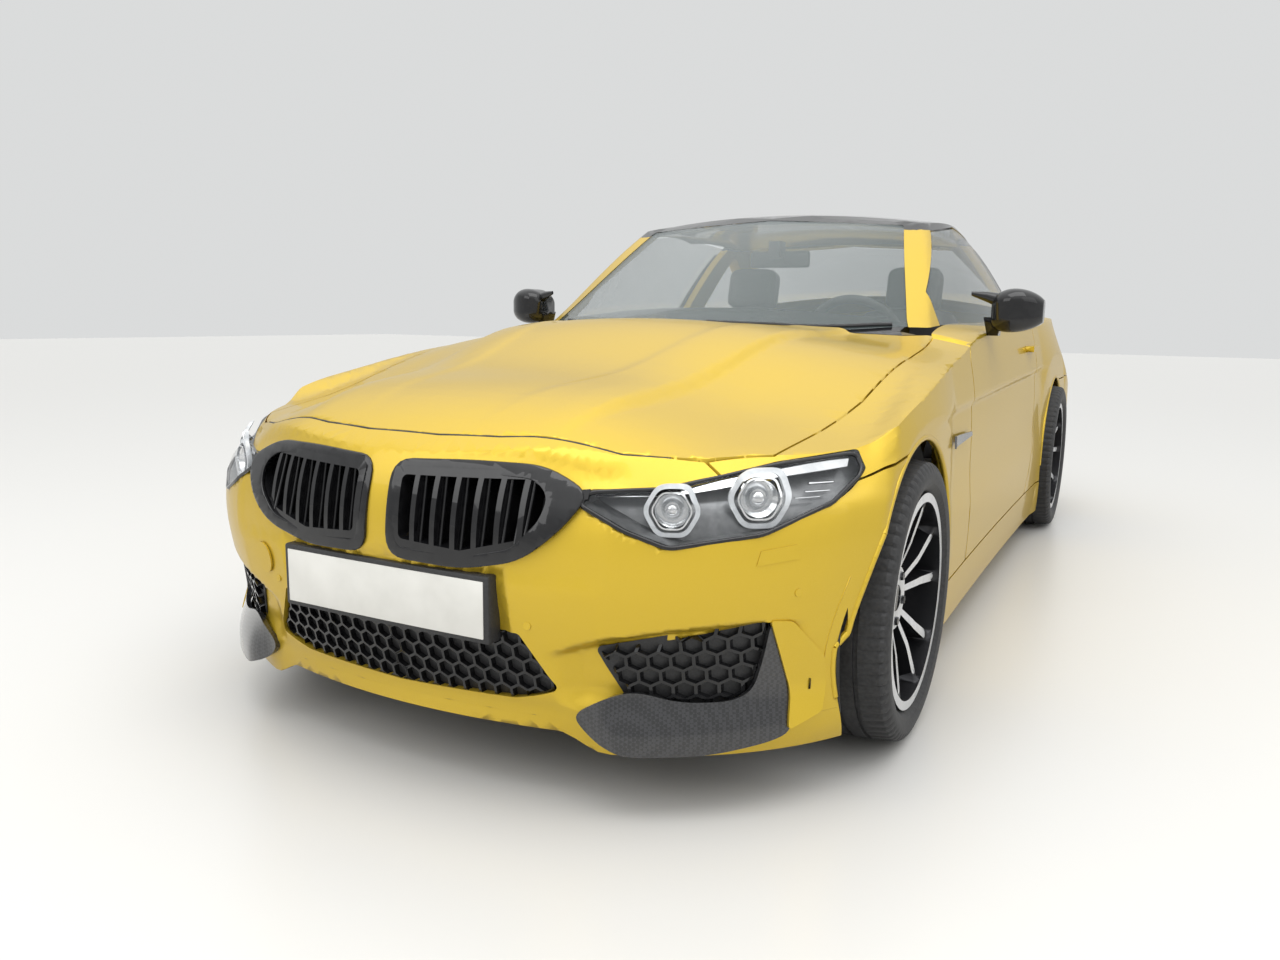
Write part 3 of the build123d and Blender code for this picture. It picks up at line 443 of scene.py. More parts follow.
def sideShape(x, y, z):
    under = follow(sideLine["line"], y) - z
    press = sideLine["cut"] * ease(under, 0.0, sideLine["edge"]) * ease(z, *sideLine["height"])
    press *= band(y, *sideLine["along"])
    inward = math.copysign(press, x) if abs(x) > sideLine["outside"] else 0
    return Vector((x - inward, y, z - noseDrop(x, y, z)))


# planes that cut each panel along x, y and z, and the shape it is then given
sideHeights = [0.44, 0.50, 0.56, 0.64, 0.69] + steps(0.700, 0.820, 20) + steps(0.830, 0.960, 13)
sideCuts = ([], steps(-1.9, 2.2, 68), sideHeights)
sculpted = {
    "bonnet": ((steps(-0.66, 0.66, 88), steps(-2.28, -0.70, 36), []), bonnetShape),
    "front_bumper": ((steps(-0.84, 0.84, 84), [], steps(0.16, 0.46, 40)), bumperShape),
    "front_splitter": ((steps(-0.48, 0.48, 24), [], []), splitterShape),
    "headlights": (([], [], steps(0.60, 0.74, 7)), lowered),
    "roof_frame": (([], [], [headerLook["low"]]), asIs),
    "door_left": (sideCuts, sideShape), "door_right": (sideCuts, sideShape),
    "front_fenders": (sideCuts, sideShape), "quarter_panels": (sideCuts, sideShape),
}
evenLook = {"angle": 0.40, "rounds": 4, "near": 0.00005, "weld": 0.00002, "smooth": 28}


def evened(bm):
    # flat facets of bent panels relaxed, with every edge and corner left where it is
    def flat(edge):
        return edge.is_manifold and edge.calc_face_angle(1) < evenLook["angle"]

    soft = [v for v in bm.verts if all(flat(e) for e in v.link_edges)]
    for again in range(evenLook["rounds"]):
        bmesh.ops.smooth_vert(bm, verts=soft, factor=0.5, use_axis_x=True, use_axis_y=True, use_axis_z=True)


def smoothCopies():
    # each rigid node gets a welded, smooth-shaded twin in its finish
    for look, names in nodeLooks.items():
        for name in names:
            bm = bmesh.new()
            bm.from_mesh(frame["nodes"][name].data)
            bmesh.ops.remove_doubles(bm, verts=bm.verts, dist=evenLook["weld"])
            bmesh.ops.dissolve_degenerate(bm, edges=bm.edges, dist=evenLook["weld"])
            if name in sculpted:
                cuts, shape = sculpted[name]
                for axis, places in enumerate(cuts):
                    cutAcross(bm, axis, places, evenLook["near"])
                evened(bm)
                for vert in bm.verts:
                    vert.co = shape(*vert.co)
            twin = addPiece("skin_" + name, bm, look, bodyOf[name], slotOf[name], evenLook["smooth"])
            if look == "paint":
                twin.modifiers.new("evenNormals", "WEIGHTED_NORMAL").keep_sharp = True
            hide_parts(name)
            if name == "roof_frame":
                blackHeader(twin)


def blackHeader(twin):
    # the frame over the windscreen is black like the roof, the pillars below it are painted
    twin.data.materials.append(mats["gloss"])
    for face in twin.data.polygons:
        middle = face.center
        face.material_index = int(middle.z > headerLook["low"] and abs(middle.x) < headerLook["half"])


# helpers that read the body's own surface
def surfaceOf(*names):
    bm = bmesh.new()
    for name in names:
        bm.from_mesh(frame["nodes"][name].data)
    tree = BVHTree.FromBMesh(bm)
    bm.free()
    return tree


def castFrom(tree, start, way):
    return tree.ray_cast(Vector(start), Vector(way))[0]


def fromFront(tree, x, z):
    return castFrom(tree, (x, -farOff, z), (0, 1, 0))


def fromBehind(tree, x, z):
    return castFrom(tree, (x, farOff, z), (0, -1, 0))


def fromLeft(tree, y, z):
    return castFrom(tree, (farOff, y, z), (-1, 0, 0))


def fromAbove(tree, x, y):
    return castFrom(tree, (x, y, farOff), (0, 0, -1))


def frontPlace(tree):
    def place(x, z, lift):
        spot = fromFront(tree, x, z) or fromFront(tree, x * 0.98, z)
        return Vector((x, (spot.y if spot else noseY) - lift, z))
    return place


def sidePlace(tree):
    def place(y, z, lift):
        spot = fromLeft(tree, y, z) or fromLeft(tree, y, z - 0.02)
        return Vector(((spot.x if spot else sideSpare) + lift, y, z))
    return place


def within(point, outline):
    x, z = point
    odd = False
    for (x1, z1), (x2, z2) in zip(outline, outline[1:] + outline[:1]):
        if (z1 > z) != (z2 > z) and x < (x2 - x1) * (z - z1) / (z2 - z1) + x1:
            odd = not odd
    return odd


# helpers that shape small pieces
def mirrorX(bm):
    bmesh.ops.mirror(bm, geom=bm.verts[:] + bm.edges[:] + bm.faces[:], axis="X", merge_dist=-1)
    bmesh.ops.recalc_face_normals(bm, faces=bm.faces)


def box(bm, low, high):
    made = bmesh.ops.create_cube(bm, size=1)
    middle = [(a + b) / 2 for a, b in zip(low, high)]
    for vert in made["verts"]:
        vert.co = Vector([m + v * abs(b - a) for m, v, a, b in zip(middle, vert.co, low, high)])
    return made["verts"]


def boxAt(bm, spans):
    # spans of x, of the way back from the nose, and of z
    (x1, x2), (d1, d2), (z1, z2) = spans
    box(bm, (x1, noseY + d1, z1), (x2, noseY + d2, z2))


def softenEdges(bm, width, segments=2):
    sharp = [e for e in bm.edges if e.is_manifold and e.calc_face_angle(0) > 0.6]
    bmesh.ops.bevel(bm, geom=sharp, offset=width, segments=segments, profile=0.5, affect="EDGES", material=-1)


def rodAlong(bm, points, radius, segments=8):
    for a, b in zip(points, points[1:]):
        a, b = Vector(a), Vector(b)
        lie = Matrix.Translation(a) @ (b - a).to_track_quat("Z", "Y").to_matrix().to_4x4()
        ring = bmesh.ops.create_circle(bm, segments=segments, radius=radius, cap_ends=True, matrix=lie)
        out = bmesh.ops.extrude_face_region(bm, geom=ring["verts"][0].link_faces[:])
        bmesh.ops.translate(bm, verts=newVerts(out), vec=b - a)
    bmesh.ops.recalc_face_normals(bm, faces=bm.faces)


def rounded(outline, size, count=5):
    # each corner of a closed outline replaced by a short curve
    points = []
    for before, corner, after in zip(outline[-1:] + outline[:-1], outline, outline[1:] + outline[:1]):
        a, c, b = Vector(before), Vector(corner), Vector(after)
        start = c + (a - c).normalized() * min(size, (a - c).length * 0.45)
        end = c + (b - c).normalized() * min(size, (b - c).length * 0.45)
        for t in steps(0, 1, count):
            points.append(tuple(start * (1 - t) ** 2 + c * 2 * t * (1 - t) + end * t ** 2))
    return points


def layOn(bm, outline, place, step, lift, thick):
    # a flat outline cut into strips, laid on a surface by place(u, v, lift) and given a thickness
    bm.faces.new([bm.verts.new((u, v, 0)) for u, v in outline])
    for axis in (0, 1):
        low, high = min(p[axis] for p in outline), max(p[axis] for p in outline)
        cutAcross(bm, axis, steps(low, high, max(1, int((high - low) / step)))[1:-1])
    for vert in bm.verts:
        vert.co = place(vert.co.x, vert.co.y, lift)
    bmesh.ops.recalc_face_normals(bm, faces=bm.faces)
    bmesh.ops.solidify(bm, geom=bm.faces[:], thickness=thick)
    bmesh.ops.recalc_face_normals(bm, faces=bm.faces)


# honeycomb in the low openings
combLook = {
    "cell": 0.021, "wall": 0.0032, "depth": 0.014, "ahead": 0.014, "behind": 0.032, "rows": 12, "columns": 26,
    "foot": 0.165, "split": 0.42, "middleOf": ((0.15, 0.285), (0.68, 0.27)), "tries": 12, "spare": 0.10,
    "skinWithin": 0.6, "join": 0.0005, "weld": 0.0003,
    "middle": [(-0.1, 0.385), (0.33, 0.392), (0.405, 0.250), (0.300, 0.184), (-0.1, 0.160)],
    "side": [(0.445, 0.355), (0.765, 0.424), (0.800, 0.280), (0.795, 0.192), (0.530, 0.142)],
}


def nearestHit(tree, x, z, middle):
    # depth of the mesh behind an opening, read further in where a cell runs past its edge
    for n in range(combLook["tries"]):
        t = n / combLook["tries"]
        spot = fromFront(tree, x + (middle[0] - x) * t, z + (middle[1] - z) * t)
        if spot:
            return spot.y
    return noseY + combLook["spare"]


def honeycomb():
    size = combLook["cell"]
    bm = bmesh.new()
    lie = Matrix.Rotation(math.radians(90), 4, "X")
    for row in range(combLook["rows"]):
        for col in range(combLook["columns"]):
            spot = ((col + 0.5 * (row % 2)) * size * math.sqrt(3), combLook["foot"] + row * size * 1.5)
            if within(spot, combLook["middle"]) or within(spot, combLook["side"]):
                place = Matrix.Translation((spot[0], 0, spot[1])) @ lie
                bmesh.ops.create_circle(bm, cap_ends=True, segments=6, radius=size, matrix=place)
    bmesh.ops.remove_doubles(bm, verts=bm.verts, dist=combLook["join"])
    cells = bm.faces[:]
    bmesh.ops.inset_individual(bm, faces=cells, thickness=combLook["wall"])
    bmesh.ops.delete(bm, geom=cells, context="FACES_ONLY")
    tree = surfaceOf("intake_meshes")
    skin = surfaceOf("front_bumper", "front_splitter")
    for vert in bm.verts:
        middle = combLook["middleOf"][int(vert.co.x >= combLook["split"])]
        vert.co.y = nearestHit(tree, vert.co.x, vert.co.z, middle) - combLook["ahead"]
        wall = fromFront(skin, vert.co.x, vert.co.z)
        if wall and wall.y < noseY + combLook["skinWithin"]:
            vert.co.y = max(vert.co.y, wall.y + combLook["behind"])
    bmesh.ops.solidify(bm, geom=bm.faces[:], thickness=combLook["depth"])
    mirrorX(bm)
    bmesh.ops.remove_doubles(bm, verts=bm.verts, dist=combLook["weld"])
    addPiece("honeycomb", bm, "gloss", "body", "black_plastic", 40)


# headlights: dark tray with its walls, two ringed lamps each side, brow, fins and a seal
lampLook = {
    "outline": [(0.436, 0.632), (0.446, 0.664), (0.561, 0.692), (0.708, 0.730), (0.818, 0.745),
                (0.838, 0.712), (0.812, 0.626), (0.729, 0.576), (0.592, 0.556), (0.518, 0.586)],
    "brow": [(0.450, 0.652), (0.452, 0.662), (0.561, 0.689), (0.708, 0.727), (0.812, 0.742),
             (0.815, 0.722), (0.708, 0.709), (0.561, 0.675)],
    "browStep": 0.03, "browLift": -0.012, "browThick": 0.004,
    "tray": 0.062, "trayTop": 0.006, "trayThick": 0.002, "end": 0.610,
    "trayCuts": ((0, 0.43, 0.84, 20), (2, 0.55, 0.75, 8)),
    "rings": ((0.576, 0.616, 0.053, 24), (0.704, 0.634, 0.060, 34)), "ringDeep": 0.032, "near": 0.012,
    "gap": 0.003, "lobes": (6, 0.97, 0.03), "nod": 0.04,
    "hoops": (("glow", 1.0, 0.17, 0.010, 72), ("bowls", 0.72, 0.06, 0.012, 60)),
    "bowl": (0.24, 0.62, 0.022, -0.006), "bowlThick": 0.002, "eye": (0.30, -0.012),
    "fins": ((0.655, 0.79), (0.675, 0.80), (0.695, 0.80)), "finLong": 0.035, "finDeep": 0.020,
    "finSize": 0.0035,
    "seal": 0.0048, "sealCorner": 0.012, "middle": (0.64, 0.65), "beyond": 0.004,
}


def hoop(bm, place, lie, outer, wall, tall, sides):
    # closed ring with soft corners, kept between the lens and the tray behind it
    count, even, swing = lampLook["lobes"]
    loops = []
    for radius, height in ((outer, 0), (outer, tall), (outer - wall, tall), (outer - wall, 0)):
        made = bmesh.ops.create_circle(bm, segments=sides, radius=1)
        for vert in made["verts"]:
            reach = radius * (even + swing * math.cos(count * math.atan2(vert.co.y, vert.co.x)))
            spot = lie @ Vector((reach * vert.co.x, reach * vert.co.y, height))
            skin = place(spot.x, spot.z, 0).y - height
            spot.y = min(max(spot.y, skin + lampLook["near"]), skin + lampLook["tray"] - lampLook["gap"])
            vert.co = spot
        loops.append(loopEdges(made))
    for first, second in zip(loops, loops[1:] + loops[:1]):
        bmesh.ops.bridge_loops(bm, edges=first + second)


def ringLamp(bags, place, x, z, size, turn):
    # lamp facing forwards and a little outwards: ring, bright bowl and a lens eye
    turn = math.radians(turn)
    aim = Vector((math.sin(turn), -math.cos(turn), lampLook["nod"])).normalized()
    seat = Matrix.Translation(place(x, z, -lampLook["ringDeep"]))
    lie = seat @ aim.to_track_quat("Z", "Y").to_matrix().to_4x4()
    for bag, share, wall, tall, sides in lampLook["hoops"]:
        hoop(bags[bag], place, lie, size * share, size * wall, tall, sides)
    small, wide, depth, shift = lampLook["bowl"]
    bowl = bmesh.ops.create_cone(bags["bowls"], cap_ends=False, segments=36, radius1=size * small,
                                 radius2=size * wide, depth=depth,
                                 matrix=lie @ Matrix.Translation((0, 0, shift)))
    faces = list(dict.fromkeys(f for v in bowl["verts"] for f in v.link_faces))
    bmesh.ops.solidify(bags["bowls"], geom=faces, thickness=lampLook["bowlThick"])
    share, shift = lampLook["eye"]
    bmesh.ops.create_uvsphere(bags["bowls"], u_segments=20, v_segments=12, radius=size * share,
                              matrix=lie @ Matrix.Translation((0, 0, shift)))


def lampTray(place):
    tray = bmesh.new()
    tray.faces.new([tray.verts.new((x, 0, z)) for x, z in lampLook["outline"]])
    for axis, low, high, count in lampLook["trayCuts"]:
        cutAcross(tray, axis, steps(low, high, count))
    inner = {v: place(v.co.x, v.co.z, -lampLook["tray"]) for v in tray.verts}
    wall = bmesh.ops.extrude_edge_only(tray, edges=[e for e in tray.edges if e.is_boundary])
    for vert in newVerts(wall):
        vert.co = place(vert.co.x, vert.co.z, -lampLook["trayTop"])
    for vert, spot in inner.items():
        vert.co = spot
    bmesh.ops.bisect_plane(tray, geom=tray.verts[:] + tray.edges[:] + tray.faces[:],
                           plane_co=(0, noseY + lampLook["end"], 0), plane_no=(0, 1, 0), clear_outer=True)
    bmesh.ops.recalc_face_normals(tray, faces=tray.faces)
    bmesh.ops.solidify(tray, geom=tray.faces[:], thickness=lampLook["trayThick"])
    for vert in tray.verts:
        vert.co = lowered(*vert.co)
    mirrorX(tray)
    addPiece("lampTray", tray, "tray", "body", "black_plastic", 30)


def headlightParts():
    place = frontPlace(surfaceOf("headlights", "front_bumper", "front_fenders", "bonnet"))
    lampTray(place)
    bags = {"glow": bmesh.new(), "bowls": bmesh.new()}
    for x, z, size, turn in lampLook["rings"]:
        ringLamp(bags, place, x, z, size, turn)
    for bag, name, look in (("glow", "lampRings", "glow"), ("bowls", "lampBowls", "chrome")):
        bmesh.ops.recalc_face_normals(bags[bag], faces=bags[bag].faces)
        mirrorX(bags[bag])
        addPiece(name, bags[bag], look, "body", "lamp", 40)
    brow = bmesh.new()
    layOn(brow, lampLook["brow"], place, lampLook["browStep"], lampLook["browLift"], lampLook["browThick"])
    for z, last in lampLook["fins"]:
        run = [place(x, z, -lampLook["finDeep"]) for x in steps(last - lampLook["finLong"], last, 3)]
        rodAlong(brow, run, lampLook["finSize"])
    for vert in brow.verts:
        vert.co = lowered(*vert.co)
    mirrorX(brow)
    addPiece("lampBrows", brow, "chrome", "body", "lamp", 40)
    seal, edge = bmesh.new(), []
    middle = Vector(lampLook["middle"])
    for point in rounded(lampLook["outline"], lampLook["sealCorner"], 3):
        spot = Vector(point) + (Vector(point) - middle).normalized() * lampLook["beyond"]
        edge.append(lowered(*place(*spot, 0.0)))
    rodAlong(seal, edge + edge[:1], lampLook["seal"])
    mirrorX(seal)
    addPiece("lampSeals", seal, "gloss", "body", "black_plastic", 60)


# tyres with grooves, from one section spun about each axle
tyreLook = {
    "front": (0.1275, 0.3305, 0.2515), "rear": (0.1375, 0.3375, 0.2515), "steps": 288,
    "grooves": (0.062, 0.022, -0.022, -0.062), "grooveHalf": 0.0045, "grooveDeep": 0.0065,
    "grooveWall": 0.001,
    "crown": (0.016, 0.008), "crownRise": 0.0075,
    "bead": ((0.022, 0.0), (0.012, 0.010), (0.003, 0.022), (0.0005, 0.034), (0.0, 0.044)),
    "wall": ((0.002, 0.028), (0.006, 0.018), (0.010, 0.012)),
    "notchEvery": 4, "notchWide": 0.050, "notchTall": 0.022, "notchDeep": 0.0055,
}


def tyreSection(half, radius, seat):
    inward, down = tyreLook["crown"]
    edge, groove, wall = half - inward, tyreLook["grooveHalf"], tyreLook["grooveWall"]
    crown = [(edge, radius - down)]
    for x in tyreLook["grooves"]:
        for shift, deep in ((groove + wall, 0), (groove, 1), (-groove, 1), (-groove - wall, 0)):
            fall = tyreLook["crownRise"] * ((x + shift) / edge) ** 2
            crown.append((x + shift, radius - fall - deep * tyreLook["grooveDeep"]))
    crown.append((-edge, radius - down))
    side = [(half - x, seat + r) for x, r in tyreLook["bead"]]
    side += [(half - x, radius - r) for x, r in tyreLook["wall"]]
    return side + crown + [(-x, r) for x, r in reversed(side)]


def spinTyre(name, x, y, half, radius, seat):
    bm = bmesh.new()
    verts = [bm.verts.new((x + a, y, radius + r)) for a, r in tyreSection(half, radius, seat)]
    edges = [bm.edges.new(pair) for pair in zip(verts, verts[1:])]
    bmesh.ops.spin(bm, geom=verts + edges, cent=(x, y, radius), axis=(1, 0, 0), angle=2 * math.pi,
                   steps=tyreLook["steps"], use_merge=True)
    for vert in bm.verts:
        dy, dz = vert.co.y - y, vert.co.z - radius
        reach = math.hypot(dy, dz)
        turn = round(math.atan2(dy, dz) / (2 * math.pi) * tyreLook["steps"])
        outer = abs(vert.co.x - x) > half - tyreLook["notchWide"] and reach > radius - tyreLook["notchTall"]
        if turn % tyreLook["notchEvery"] == 0 and outer:
            scale = (reach - tyreLook["notchDeep"]) / reach
            vert.co.y, vert.co.z = y + dy * scale, radius + dz * scale
    bmesh.ops.recalc_face_normals(bm, faces=bm.faces)
    piece = addPiece("tread_" + name, bm, "rubber", "wheel_" + name, "tyre", 24)
    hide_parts("tyre_" + name)


def tyres():
    for name in wheelNames:
        half, radius, seat = tyreLook["front" if "front" in name else "rear"]
        low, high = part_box("tyre_" + name)
        spinTyre(name, (low[0] + high[0]) / 2, (low[1] + high[1]) / 2, half, radius, seat)


# number plate and the front bumper's small parts
noseLook = {
    "plates": (("plateHolder", "holder", (-0.0006, 0.040), 0.006, "matt", "black_plastic"),
               ("plateFront", "plate", (-0.0024, -0.0004), 0.0015, "plate", "gloss_black")),
    "plate": (0.26, 0.357, 0.471), "holder": (0.272, 0.346, 0.482), "plateBow": 0.05, "plateAt": 0.42,
    "covers": (("grilleLinks", "link", 0.001, 0.010, "gloss", "gloss_black"),
               ("washerCovers", "washer", 0.0016, 0.004, "paint", "paint"),
               ("towCover", "tow", 0.0014, 0.004, "paint", "paint")),
    "link": [(0.400, 0.630), (0.400, 0.650), (0.446, 0.656), (0.446, 0.638)],
    "washer": [(0.725, 0.515), (0.785, 0.523), (0.780, 0.551), (0.730, 0.543)],
    "tow": [(-0.375 + 0.030 * math.cos(math.radians(a)), 0.430 + 0.036 * math.sin(math.radians(a)))
            for a in range(0, 360, 20)],
    "step": 0.02, "sensors": ((0.335, 0.387), (0.785, 0.456)), "sensorSize": (0.010, 0.008),
    "sensorOut": 0.0015, "sensorSunk": 0.004, "sensorDeep": 0.009,
}


def numberPlate(place):
    ahead = place(0, noseLook["plateAt"], 0).y
    for name, key, (front, back), soft, look, slot in noseLook["plates"]:
        half, low, high = noseLook[key]
        bm = bmesh.new()
        box(bm, (-half, ahead + front, low), (half, ahead + back, high))
        softenEdges(bm, soft)
        long = [e for e in bm.edges if abs(e.verts[0].co.x - e.verts[1].co.x) > half]
        bmesh.ops.subdivide_edges(bm, edges=long, cuts=11, use_grid_fill=True)
        for vert in bm.verts:
            vert.co.y += noseLook["plateBow"] * vert.co.x ** 2
        addPiece(name, bm, look, "body", slot)


def nosePieces():
    place = frontPlace(surfaceOf("front_bumper", "kidney_grilles", "headlights", "front_splitter",
                                 "bonnet", "front_fenders"))
    numberPlate(place)
    for name, key, lift, thick, look, slot in noseLook["covers"]:
        bm = bmesh.new()
        layOn(bm, noseLook[key], place, noseLook["step"], lift, thick)
        if key != "tow":
            mirrorX(bm)
        addPiece(name, bm, look, "body", slot)
    dots = bmesh.new()
    for x, z in noseLook["sensors"]:
        spot = place(x, z, noseLook["sensorOut"])
        near = place(x + noseLook["step"], z, noseLook["sensorOut"])
        aim = Vector((near.y - spot.y, spot.x - near.x, 0)).normalized()
        lie = aim.to_track_quat("Z", "Y").to_matrix().to_4x4()
        wide, narrow = noseLook["sensorSize"]
        bmesh.ops.create_cone(dots, cap_ends=True, segments=20, radius1=wide, radius2=narrow,
                              depth=noseLook["sensorDeep"],
                              matrix=Matrix.Translation(spot - aim * noseLook["sensorSunk"]) @ lie)
    mirrorX(dots)
    addPiece("parkSensors", dots, "paint", "body", "paint")


# matt black rod along the bonnet's front edge: painted shade standing in for the shadow in the shut line
# there
gapShadeLook = {"half": 0.545, "size": 0.0034, "down": (0, 0.0015, 0.0045), "reach": 0.60}


def bonnetGapShade():
    tree = surfaceOf("bonnet")
    path = []
    for x in steps(-gapShadeLook["half"], gapShadeLook["half"], 60):
        hits = (fromAbove(tree, x, noseY + d) for d in steps(0.0, gapShadeLook["reach"], 300))
        spot = next((hit for hit in hits if hit), None)
        if spot:
            path.append(lowered(*spot) - Vector(gapShadeLook["down"]))
    bm = bmesh.new()
    rodAlong(bm, path, gapShadeLook["size"])
    # the rod is painted shade for the gap at the bonnet's front edge
    addPiece("bonnetGapShade", bm, "matt", "body", "black_plastic", 60)


# rounded frames round the twin grilles, with paired bars
grilleLook = {
    "outer": [(0.028, 0.494), (0.024, 0.688), (0.200, 0.696), (0.352, 0.694), (0.452, 0.648), (0.410, 0.580),
              (0.333, 0.516), (0.205, 0.488)],
    "inner": [(0.052, 0.518), (0.049, 0.664), (0.200, 0.672), (0.340, 0.669), (0.376, 0.640), (0.366, 0.592),
              (0.316, 0.540), (0.205, 0.513)],
    "corners": (("outer", 0.045), ("inner", 0.024)), "cuts": ((0, 0.02, 0.450, 26), (2, 0.48, 0.70, 14)),
    "sunk": 0.008, "lift": -0.0004, "soft": 0.0018, "between": (0.476, 0.700), "swell": 0.016,
    "swellAcross": (0.20, 0.38), "bars": (0.0935, 0.14025, 0.187, 0.23375, 0.2805, 0.32725),
    "pairGap": 0.0085, "barSize": 0.0042, "barDeep": 0.010,
    "barFoot": (0.498, 0.21, 0.42), "barHead": 0.684, "barSteps": 6,
}


def grilleSkin():
    # smooth surface across the twin openings, from the panel above and below them
    skin = frontPlace(surfaceOf("front_bumper", "bonnet", "headlights"))
    low, high = grilleLook["between"]
    middle = (skin(0, low, 0).y + skin(0, high, 0).y) / 2 - skin(0, (low + high) / 2, 0).y

    def place(x, z, lift):
        t = (z - low) / (high - low)
        bow = (middle + grilleLook["swell"] * ease(x, *grilleLook["swellAcross"])) * 4 * t * (1 - t)
        y = skin(x, low, 0).y * (1 - t) + skin(x, high, 0).y * t - bow
        return Vector((x, y - lift, z))
    return place


def grilleFrames():
    place = grilleSkin()
    bm = bmesh.new()
    for key, corner in grilleLook["corners"]:
        verts = [bm.verts.new((x, 0, z)) for x, z in rounded(grilleLook[key], corner)]
        for pair in zip(verts, verts[1:] + verts[:1]):
            bm.edges.new(pair)
    bmesh.ops.triangle_fill(bm, edges=bm.edges[:], use_beauty=True, use_dissolve=False, normal=(0, -1, 0))
    for axis, low, high, count in grilleLook["cuts"]:
        cutAcross(bm, axis, steps(low, high, count))
    for vert in bm.verts:
        vert.co = place(vert.co.x, vert.co.z, -grilleLook["sunk"])
    bmesh.ops.recalc_face_normals(bm, faces=bm.faces)
    front = bmesh.ops.extrude_face_region(bm, geom=bm.faces[:])
    bmesh.ops.translate(bm, verts=newVerts(front), vec=(0, -grilleLook["sunk"] - grilleLook["lift"], 0))
    bmesh.ops.recalc_face_normals(bm, faces=bm.faces)
    softenEdges(bm, grilleLook["soft"])
    mirrorX(bm)
    addPiece("grilleFrames", bm, "gloss", "body", "gloss_black", 40)
    bars = bmesh.new()
    low, turning, slope = grilleLook["barFoot"]
    for x in grilleLook["bars"]:
        rise = max(0.0, x - turning) * slope
        for shift in (-grilleLook["pairGap"], grilleLook["pairGap"]):
            foot = place(x + shift, low + rise, -grilleLook["barDeep"])
            head = place(x + shift, grilleLook["barHead"], -grilleLook["barDeep"])
            lean = [foot.lerp(head, t) for t in steps(0, 1, grilleLook["barSteps"])]
            rodAlong(bars, lean, grilleLook["barSize"])
    mirrorX(bars)
    addPiece("grilleBars", bars, "gloss", "body", "gloss_black", 60)


# carbon blades under the side openings, and the painted posts beside them
bladeLook = {
    "blade": [(0.405, 0.205), (0.470, 0.246), (0.520, 0.262), (0.600, 0.240), (0.680, 0.238), (0.712, 0.256),
              (0.731, 0.330), (0.742, 0.394), (0.753, 0.392), (0.764, 0.325), (0.776, 0.240), (0.780, 0.172),
              (0.750, 0.156), (0.660, 0.140), (0.520, 0.138), (0.440, 0.165)],
    "post": [(0.738, 0.405), (0.770, 0.400), (0.812, 0.320), (0.815, 0.200), (0.770, 0.175), (0.764, 0.240),
             (0.750, 0.330)],
    "pieces": (("cornerBlades", "blade", 0.030, 0.790, 0.018, -0.004, 0.012, "carbon", "carbon"),
               ("cornerPosts", "post", 0.008, 0.850, 0.012, -0.010, 0.010, "paint", "paint")),
    "skinAt": 0.456, "lip": 0.262, "lean": 0.20, "flare": 0.030, "flareTall": 0.10,
    "flareAcross": (0.42, 0.52),
}


def bladeSkin(skin, last):
    # ahead of the openings: read from the closed skin above them and leaned back below
    def place(x, z, lift):
        over = fromFront(skin, min(x, last), bladeLook["skinAt"])
        y = over.y + bladeLook["lean"] * (bladeLook["skinAt"] - max(z, bladeLook["lip"]))
        low = ease(bladeLook["lip"] - z, 0.0, bladeLook["flareTall"])
        return Vector((x, y - lift - bladeLook["flare"] * low * ease(x, *bladeLook["flareAcross"]), z))
    return place


def cornerBlades():
    skin = surfaceOf("front_bumper")
    for name, key, corner, last, step, lift, thick, look, slot in bladeLook["pieces"]:
        bm = bmesh.new()
        layOn(bm, rounded(bladeLook[key], corner), bladeSkin(skin, last), step, lift, thick)
        mirrorX(bm)
        addPiece(name, bm, look, "body", slot, 40)


# wheels: cap and bolts
capLook = {
    "face": 0.067, "sunk": 0.009, "radii": (0.034, 0.031), "depth": 0.022, "soft": 0.0025,
    "boltSunk": 0.002, "boltRing": 0.056, "boltStart": 54, "bolts": 5, "boltRadii": (0.0115, 0.0100),
    "boltDepth": 0.016,
}


def wheelDetails():
    for name in wheelNames:
        low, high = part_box("rim_" + name)
        side = 1 if "left" in name else -1
        x, y, z = [(a + b) / 2 for a, b in zip(low, high)]
        face = x + side * capLook["face"]
        turn = Matrix.Rotation(math.radians(90 * side), 4, "Y")
        wide, narrow = capLook["radii"]
        cap = bmesh.new()
        bmesh.ops.create_cone(cap, cap_ends=True, segments=32, radius1=wide, radius2=narrow,
                              depth=capLook["depth"],
                              matrix=Matrix.Translation((face - side * capLook["sunk"], y, z)) @ turn)
        softenEdges(cap, capLook["soft"])
        addPiece("cap_" + name, cap, "gloss", "wheel_" + name, "rim")
        wide, narrow = capLook["boltRadii"]
        bolts = bmesh.new()
        for step in range(capLook["bolts"]):
            angle = math.radians(capLook["boltStart"] + 360 / capLook["bolts"] * step)
            spot = (face - side * capLook["boltSunk"], y + capLook["boltRing"] * math.cos(angle),
                    z + capLook["boltRing"] * math.sin(angle))
            bmesh.ops.create_cone(bolts, cap_ends=True, segments=6, radius1=wide, radius2=narrow,
                                  depth=capLook["boltDepth"], matrix=Matrix.Translation(spot) @ turn)
        addPiece("bolts_" + name, bolts, "darkChrome", "wheel_" + name, "rim")


# mirror glasses, and the long gills behind the front wheels
mirrorLook = {"x": 0.935, "half": (0.064, 0.044), "behind": 0.001, "up": 0.012, "thick": 0.004}
gillLook = {"outline": [(-1.135, 0.640), (-1.125, 0.672), (-0.86, 0.660), (-0.852, 0.648)],
            "step": 0.03, "lift": 0.0015, "thick": 0.005}


